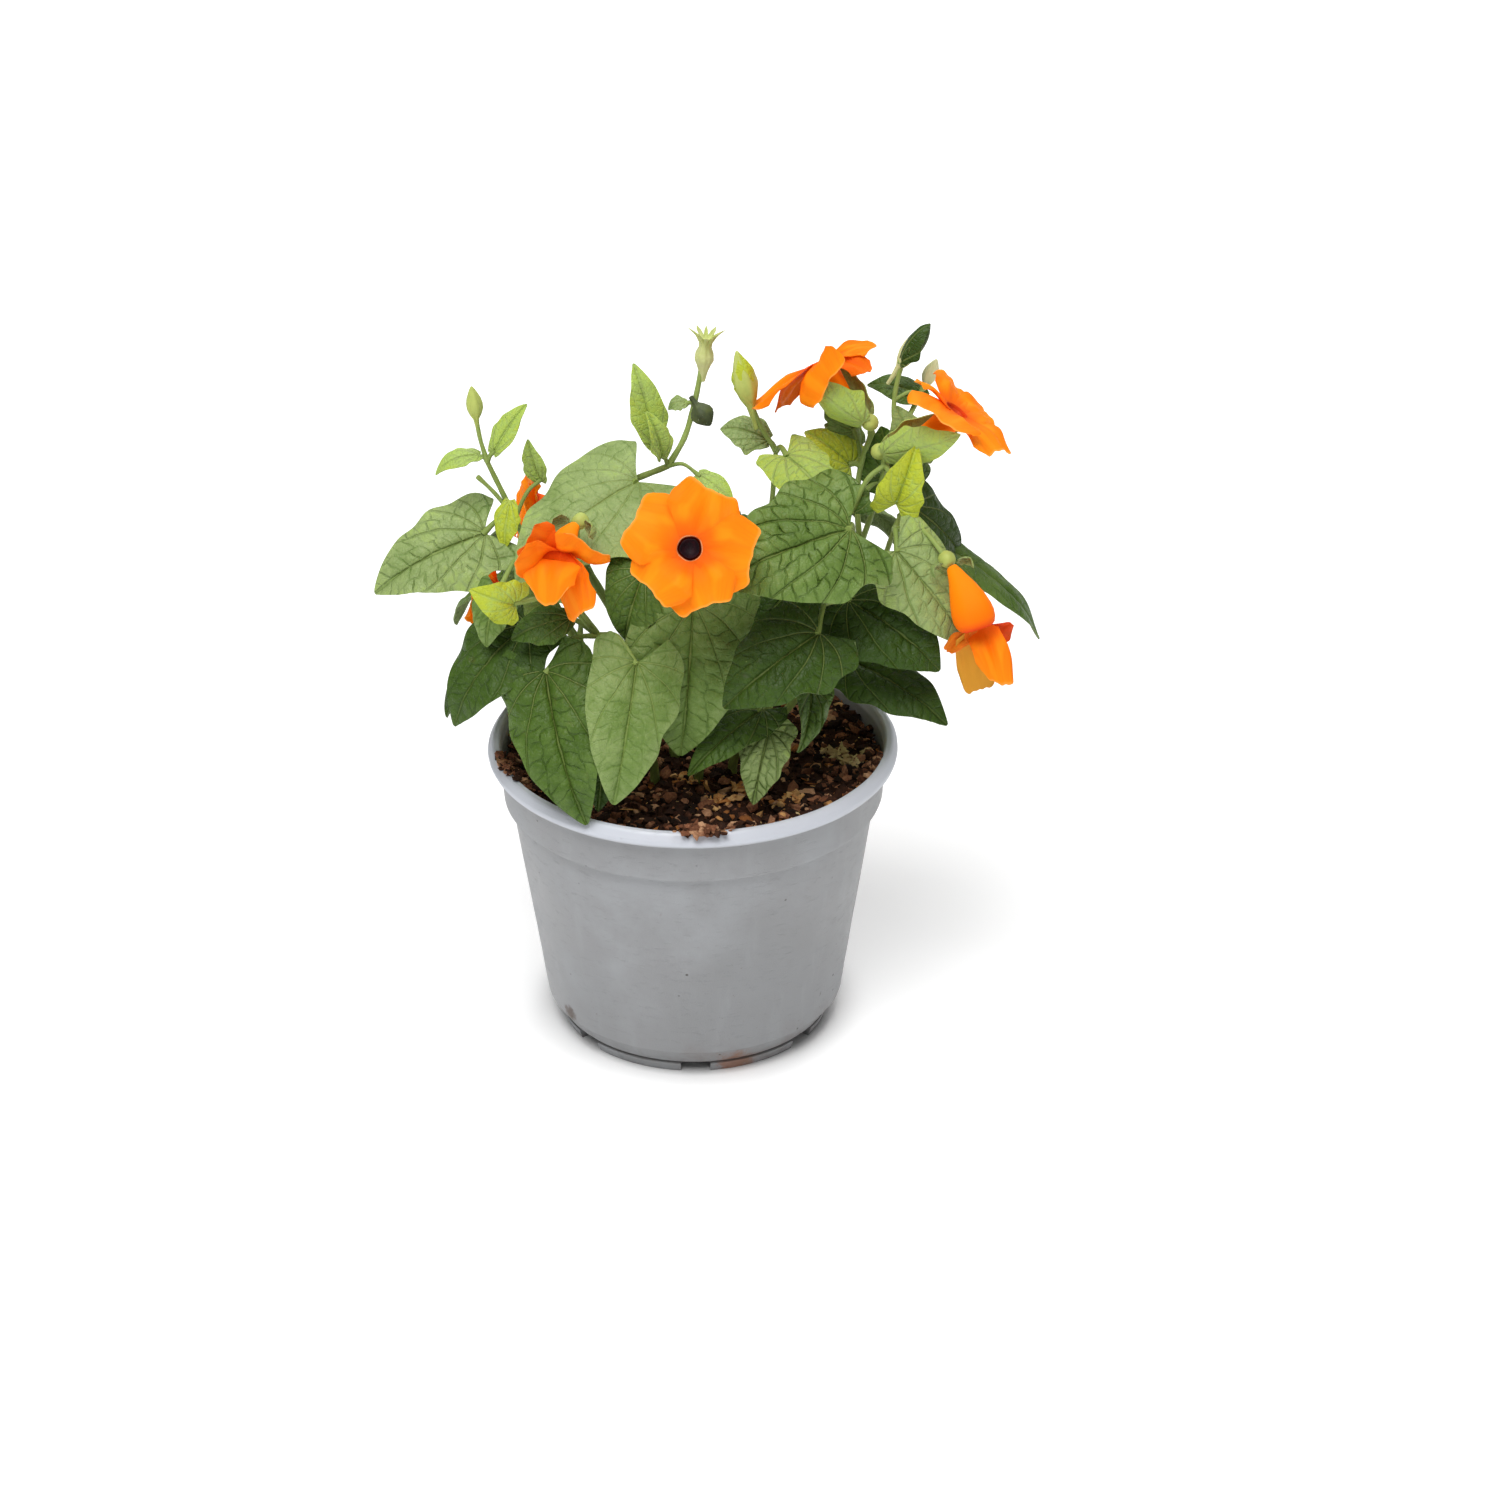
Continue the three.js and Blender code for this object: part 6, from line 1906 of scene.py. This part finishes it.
@dataclass
class Soil:
    """Peat that fills the pot, with crumbs, bark and pale grains on it and spilled over the lip."""

    pot: Pot = field(default_factory=Pot)
    top: float = 90.0
    gap: float = 0.3
    sides: int = 230
    rings: int = 84
    loose: tuple[tuple[int, float, float, float, Bit], ...] = (
        (3300, 0.3, 2.3, 0.7, Bit.PEAT), (420, 0.25, 0.7, 4.5, Bit.PEAT), (140, 0.25, 0.7, 4.5, Bit.BARK),
        (110, 0.8, 2.6, 0.9, Bit.BARK), (110, 0.3, 0.8, 0.6, Bit.GRAIN),
    )
    clusters: tuple[tuple[float, float, Bit], ...] = (
        (-1.0, -14.0, Bit.BARK), (16.5, -21.0, Bit.BARK), (9.0, -30.0, Bit.BARK),
        (45.0, 4.0, Bit.GRAIN), (50.0, -3.0, Bit.GRAIN), (30.0, -28.0, Bit.BARK),
    )
    cluster_count: int = 34
    spills: tuple[tuple[float, int], ...] = ((-86.0, 4), (-158.0, 3), (-15.0, 2))
    spill_count: int = 80
    spill_start: float = 55.5
    spill_step: float = 2.4
    spill_lifts: tuple[float, ...] = (3.0, 5.2, 8.4, 11.0, 11.2)
    seed: int = 41

    def __post_init__(self) -> None:
        """Start the drawn numbers."""
        self.draw = np.random.default_rng(self.seed)
        self.rim = self.pot.collar_low - self.pot.wall - 2 * self.gap

    def surface(self, x: Array, y: Array) -> Array:
        """Height of the peat: coarse and fine ripples, and a rise towards the wall by its sixth power.

        Args:
            x: First coordinate.
            y: Second coordinate.

        Returns:
            Heights over the ground.
        """
        away = np.minimum(np.hypot(x, y) / self.rim, 1.0)
        coarse = 0.9 * ripples(x, y, self.seed, 9.0, 34.0, 16)
        fine = 0.5 * ripples(x, y, self.seed + 1, 1.8, 6.0, 26)
        return self.top - 0.3 + coarse + fine + 2.0 * away**6

    def body(self, shell: Shell) -> None:
        """Add the peat, down to the pot's floor and clear of its wall.

        Args:
            shell: What it joins.
        """
        pot, two = self.pot, 2 * self.gap
        side = np.array(
            [
                (0.4, pot.floor_top + self.gap), (pot.foot_radius - pot.wall - two, pot.floor_top + self.gap),
                (pot.wall_low - pot.wall - two, pot.band_height + self.gap),
                (pot.wall_top - pot.wall - two, pot.step_height),
                (pot.wall_top - pot.wall, pot.collar_low_height + 2.0), (self.rim, self.top - 1.5),
            ]
        )
        angle = circle(self.sides)
        ragged = 0.7 * ripples(60 * np.cos(angle), 60 * np.sin(angle), self.seed + 2, 2.5, 16.0)
        ragged = np.minimum(ragged, 0.4) - 0.4
        out, height = side[:, :1], side[:, 1:] + 0.0 * angle
        lower = np.stack([out * np.cos(angle), out * np.sin(angle), height], -1)
        share = np.linspace(1.0, 0.008, self.rings)[:, None]
        radius = share * (self.rim + ragged * smoothstep(0.9, 1.0, share))
        x, y = radius * np.cos(angle), radius * np.sin(angle)
        upper = np.stack([x, y, self.surface(x, y)], -1)
        shell.add(*closed_rings(np.concatenate([lower, upper])), grain=(0.2, 0.0, 0.0))

    def bits(
        self, shell: Shell, centres: Array, sizes: Array, long: Array, shade: Array, kind: Bit
    ) -> None:
        """Add irregular bits, each an icosahedron whose corners are moved in and out and stretched.

        Args:
            shell: What they join.
            centres: Their middles.
            sizes: Their radii.
            long: How far each is stretched along its own axis.
            shade: Their shades.
            kind: Their kind.
        """
        golden = (1.0 + math.sqrt(5.0)) / 2.0
        ball = unit(
            np.array(
                [
                    (-1, golden, 0), (1, golden, 0), (-1, -golden, 0), (1, -golden, 0), (0, -1, golden),
                    (0, 1, golden), (0, -1, -golden), (0, 1, -golden), (golden, 0, -1), (golden, 0, 1),
                    (-golden, 0, -1), (-golden, 0, 1),
                ]
            )
        )
        hull = np.array(
            [
                (0, 11, 5), (0, 5, 1), (0, 1, 7), (0, 7, 10), (0, 10, 11), (1, 5, 9), (5, 11, 4), (11, 10, 2),
                (10, 7, 6), (7, 1, 8), (3, 9, 4), (3, 4, 2), (3, 2, 6), (3, 6, 8), (3, 8, 9), (4, 9, 5),
                (2, 4, 11), (6, 2, 10), (8, 6, 7), (9, 8, 1),
            ]
        )
        count = len(centres)
        knobs = self.draw.uniform(0.45, 1.25, (count, 12, 1)) * ball[None]
        axis = unit(self.draw.normal(size=(count, 3)) * [1.0, 1.0, 0.3])
        across = unit(np.cross(axis, UP) + 1e-6)
        over = np.cross(axis, across)
        flat = self.draw.uniform(0.45, 0.9, (count, 1, 1))
        local = (
            knobs[..., :1] * long[:, None, None] * axis[:, None]
            + knobs[..., 1:2] * across[:, None]
            + knobs[..., 2:] * flat * over[:, None]
        )
        places = centres[:, None] + sizes[:, None, None] * local
        faces = (hull[None] + 12 * np.arange(count)[:, None, None]).reshape(-1, 3)
        faces = np.column_stack([faces, np.full(len(faces), -1)])
        trait = np.stack([shade, np.full(count, kind.value), np.zeros(count)], -1)
        shell.add(places.reshape(-1, 3), faces, grain=np.repeat(trait, 12, axis=0))

    def strew(self, shell: Shell, count: int, low: float, high: float, stretch: float, kind: Bit) -> None:
        """Strew bits over the peat, most of them small.

        Args:
            shell: What they join.
            count: How many.
            low: Radius of the smallest.
            high: Radius of the largest.
            stretch: How far the longest are stretched, as a share.
            kind: Their kind.
        """
        draw = self.draw
        out = (self.rim + 0.5) * np.sqrt(draw.uniform(0.0, 1.0, count))
        way = draw.uniform(0.0, TURN, count)
        x, y = out * np.cos(way), out * np.sin(way)
        sizes = low + (high - low) * draw.uniform(0.0, 1.0, count) ** 2.2
        centres = np.stack([x, y, self.surface(x, y) + 0.25 * sizes], -1)
        long = 1.0 + stretch * draw.uniform(0.3, 1.0, count)
        self.bits(shell, centres, sizes, long, draw.uniform(0.0, 1.0, count) ** 1.5, kind)

    def cluster(self, shell: Shell) -> None:
        """Add close groups of bark chips and pale grains.

        Args:
            shell: What they join.
        """
        draw, count = self.draw, self.cluster_count
        for x, y, kind in self.clusters:
            x, y = (middle + draw.normal(0.0, 2.2, count) for middle in (x, y))
            sizes = 0.45 + 1.2 * draw.uniform(0.0, 1.0, count) ** 2
            centres = np.stack([x, y, self.surface(x, y) + draw.uniform(0.2, 1.6, count)], -1)
            long = 1.0 + draw.uniform(0.0, 1.4, count)
            self.bits(shell, centres, sizes, long, draw.uniform(0.4, 1.1, count), kind)

    def spill(self, shell: Shell) -> None:
        """Heap bits from the peat up against the lip and over it, round each spill's middle line.

        Args:
            shell: What they join.
        """
        draw = self.draw
        for angle, reach in self.spills:
            steps = np.arange(reach + 1)
            radius = self.spill_start + self.spill_step * steps
            lift = self.top + np.array(self.spill_lifts)[: reach + 1]
            count = self.spill_count * (reach + 1)
            at = draw.uniform(0.0, reach, count)
            out = np.interp(at, steps, radius) + draw.normal(0.0, 0.5, count)
            way = math.radians(angle) + draw.normal(0.0, 3.2, count) / out
            height = np.interp(at, steps, lift) - 0.9 + draw.uniform(-1.2, 1.1, count)
            centres = np.stack([out * np.cos(way), out * np.sin(way), height], -1)
            sizes = 0.5 + 1.3 * draw.uniform(0.0, 1.0, count) ** 2
            long = 1.0 + 0.6 * draw.uniform(0.0, 1.0, count)
            self.bits(shell, centres, sizes, long, draw.uniform(0.15, 0.95, count), Bit.PEAT)

    def build(self, material: bpy.types.Material) -> None:
        """Build the peat and what lies on it.

        Args:
            material: Its finish.
        """
        peat = Shell()
        self.body(peat)
        peat.piece("peat", material, "soil", "soil")
        loose = Shell()
        for kinds in self.loose:
            self.strew(loose, *kinds)
        self.cluster(loose)
        self.spill(loose)
        loose.piece("peat_crumbs", material, "soil", "soil")


# ---- whole object


@dataclass
class Plant:
    """All the vines, each dressed by its foliage, its stalks and its blooms."""

    foliage: bpy.types.Material
    stalks: bpy.types.Material
    petals: bpy.types.Material
    eyes: bpy.types.Material

    def build(self) -> None:
        """Build every vine."""
        for order, vine in enumerate(VINES):
            self.vine(vine, 100 * (order + 1))

    def vine(self, vine: Vine, seed: int) -> None:
        """Build one vine's pieces.

        Args:
            vine: The vine.
            seed: What its drawn numbers start from.
        """
        bracts = [leaf for bloom in vine.blooms for leaf in bract_leaves(bloom)]
        blades = Shell()
        for k, leaf in enumerate([*vine.leaves, *bracts]):
            Blade(leaf, seed + k).build(blades)
        blades.piece(vine.name + "_leaves", self.foliage, "foliage", vine.name)
        Stalks(vine, seed).build().piece(vine.name + "_stalks", self.stalks, "foliage", vine.name)
        for k, bloom in enumerate(vine.blooms, start=1):
            corolla = Corolla(bloom, seed + 50 + k)
            node = f"{vine.name}_corolla_{k}"
            corolla.build().piece(node + "_petals", self.petals, "petal", node)
            node = f"{vine.name}_eye_{k}"
            corolla.eye().piece(node + "_cup", self.eyes, "eye", node)


@dataclass
class Studio:
    """A white floor, soft light from all round and above, and the camera."""

    target: Point = (0.01808, 0.0, 0.09307)
    elevation: float = math.radians(28.5)
    distance: float = 1.2
    lens: float = 90.7
    sky: float = 0.2
    lamps: tuple[tuple[str, Point, float, float], ...] = (
        ("key", (-0.2, -0.6, 1.42), 0.9, 20.0), ("back", (0.35, 0.75, 1.3), 0.8, 8.0),
    )
    lit: Point = (0.0, 0.0, 0.12)
    floor_size: float = 6.0

    def light(self, name: str, place: Point, size: float, power: float) -> None:
        """Add a square soft light that shines at the plant.

        Args:
            name: Its name.
            place: Where it stands, in metres.
            size: Its side.
            power: Its power in watts.
        """
        data = bpy.data.lights.new(name, "AREA")
        data.energy, data.size = power, size
        lamp = bpy.data.objects.new(name, data)
        bpy.context.scene.collection.objects.link(lamp)
        lamp.location = place
        x, y, z = (there - here for there, here in zip(self.lit, place))
        lamp.rotation_euler = (math.atan2(math.hypot(x, y), -z), 0.0, math.atan2(y, x) - math.pi / 2.0)

    def floor(self) -> None:
        """Add the floor, white and lit from within except where the pot shades it."""
        r = Recipe("floor")
        cloud = r.noise(3.0, 2.0, 0.5)
        white = r.mix(0.2 * cloud, "fcfcfc", "f4f4f4")
        x, y, _ = r.parts(r.place)
        away = r.maths("SQRT", x * x + y * y)
        near = r.mix(r.rise(away, 0.042, 0.058), "000000", "9a9a9a")
        glow = {"Emission_Color": r.mix(r.rise(away, 0.15, 0.8), near, white), "Emission_Strength": 0.75}
        material = r.finish(white, 0.8 + 0.1 * cloud, None, 0.0, Specular_IOR_Level=0.1, **glow)
        half = self.floor_size / 2.0
        corners = [(-half, -half, 0), (half, -half, 0), (half, half, 0), (-half, half, 0)]
        mesh = bpy.data.meshes.new("floor")
        mesh.from_pydata(corners, [], [(0, 1, 2, 3)])
        mesh.materials.append(material)
        floor = bpy.data.objects.new("floor", mesh)
        bpy.context.scene.collection.objects.link(floor)

    def camera(self) -> None:
        """Add the camera, which looks at the target from in front and above."""
        data = bpy.data.cameras.new("camera")
        data.sensor_width, data.lens = 36.0, self.lens
        camera = bpy.data.objects.new("camera", data)
        bpy.context.scene.collection.objects.link(camera)
        bpy.context.scene.camera = camera
        x, y, z = self.target
        y -= self.distance * math.cos(self.elevation)
        z += self.distance * math.sin(self.elevation)
        camera.location = (x, y, z)
        camera.rotation_euler = (math.pi / 2.0 - self.elevation, 0.0, 0.0)

    def build(self) -> None:
        """Set up the lights, the floor and the camera."""
        scene = bpy.context.scene
        scene.view_settings.view_transform = "Standard"
        scene.world = bpy.data.worlds.new("studio")
        scene.world.use_nodes = True
        sky = scene.world.node_tree.nodes["Background"]
        sky.inputs["Color"].default_value = (1.0, 1.0, 1.0, 1.0)
        sky.inputs["Strength"].default_value = self.sky
        for lamp in self.lamps:
            self.light(*lamp)
        self.floor()
        self.camera()


def main() -> None:
    """Build the scene: studio, pot, soil and plant."""
    logging.basicConfig(level=logging.INFO, format="%(name)s: %(message)s")
    Studio().build()
    Pot().build(PlasticFinish().make())
    Soil().build(PeatFinish().make())
    finishes = (FoliageFinish(), StalkFinish(), PetalFinish(), EyeFinish())
    Plant(*(finish.make() for finish in finishes)).build()
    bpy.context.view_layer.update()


if __name__ == "__main__":
    main()
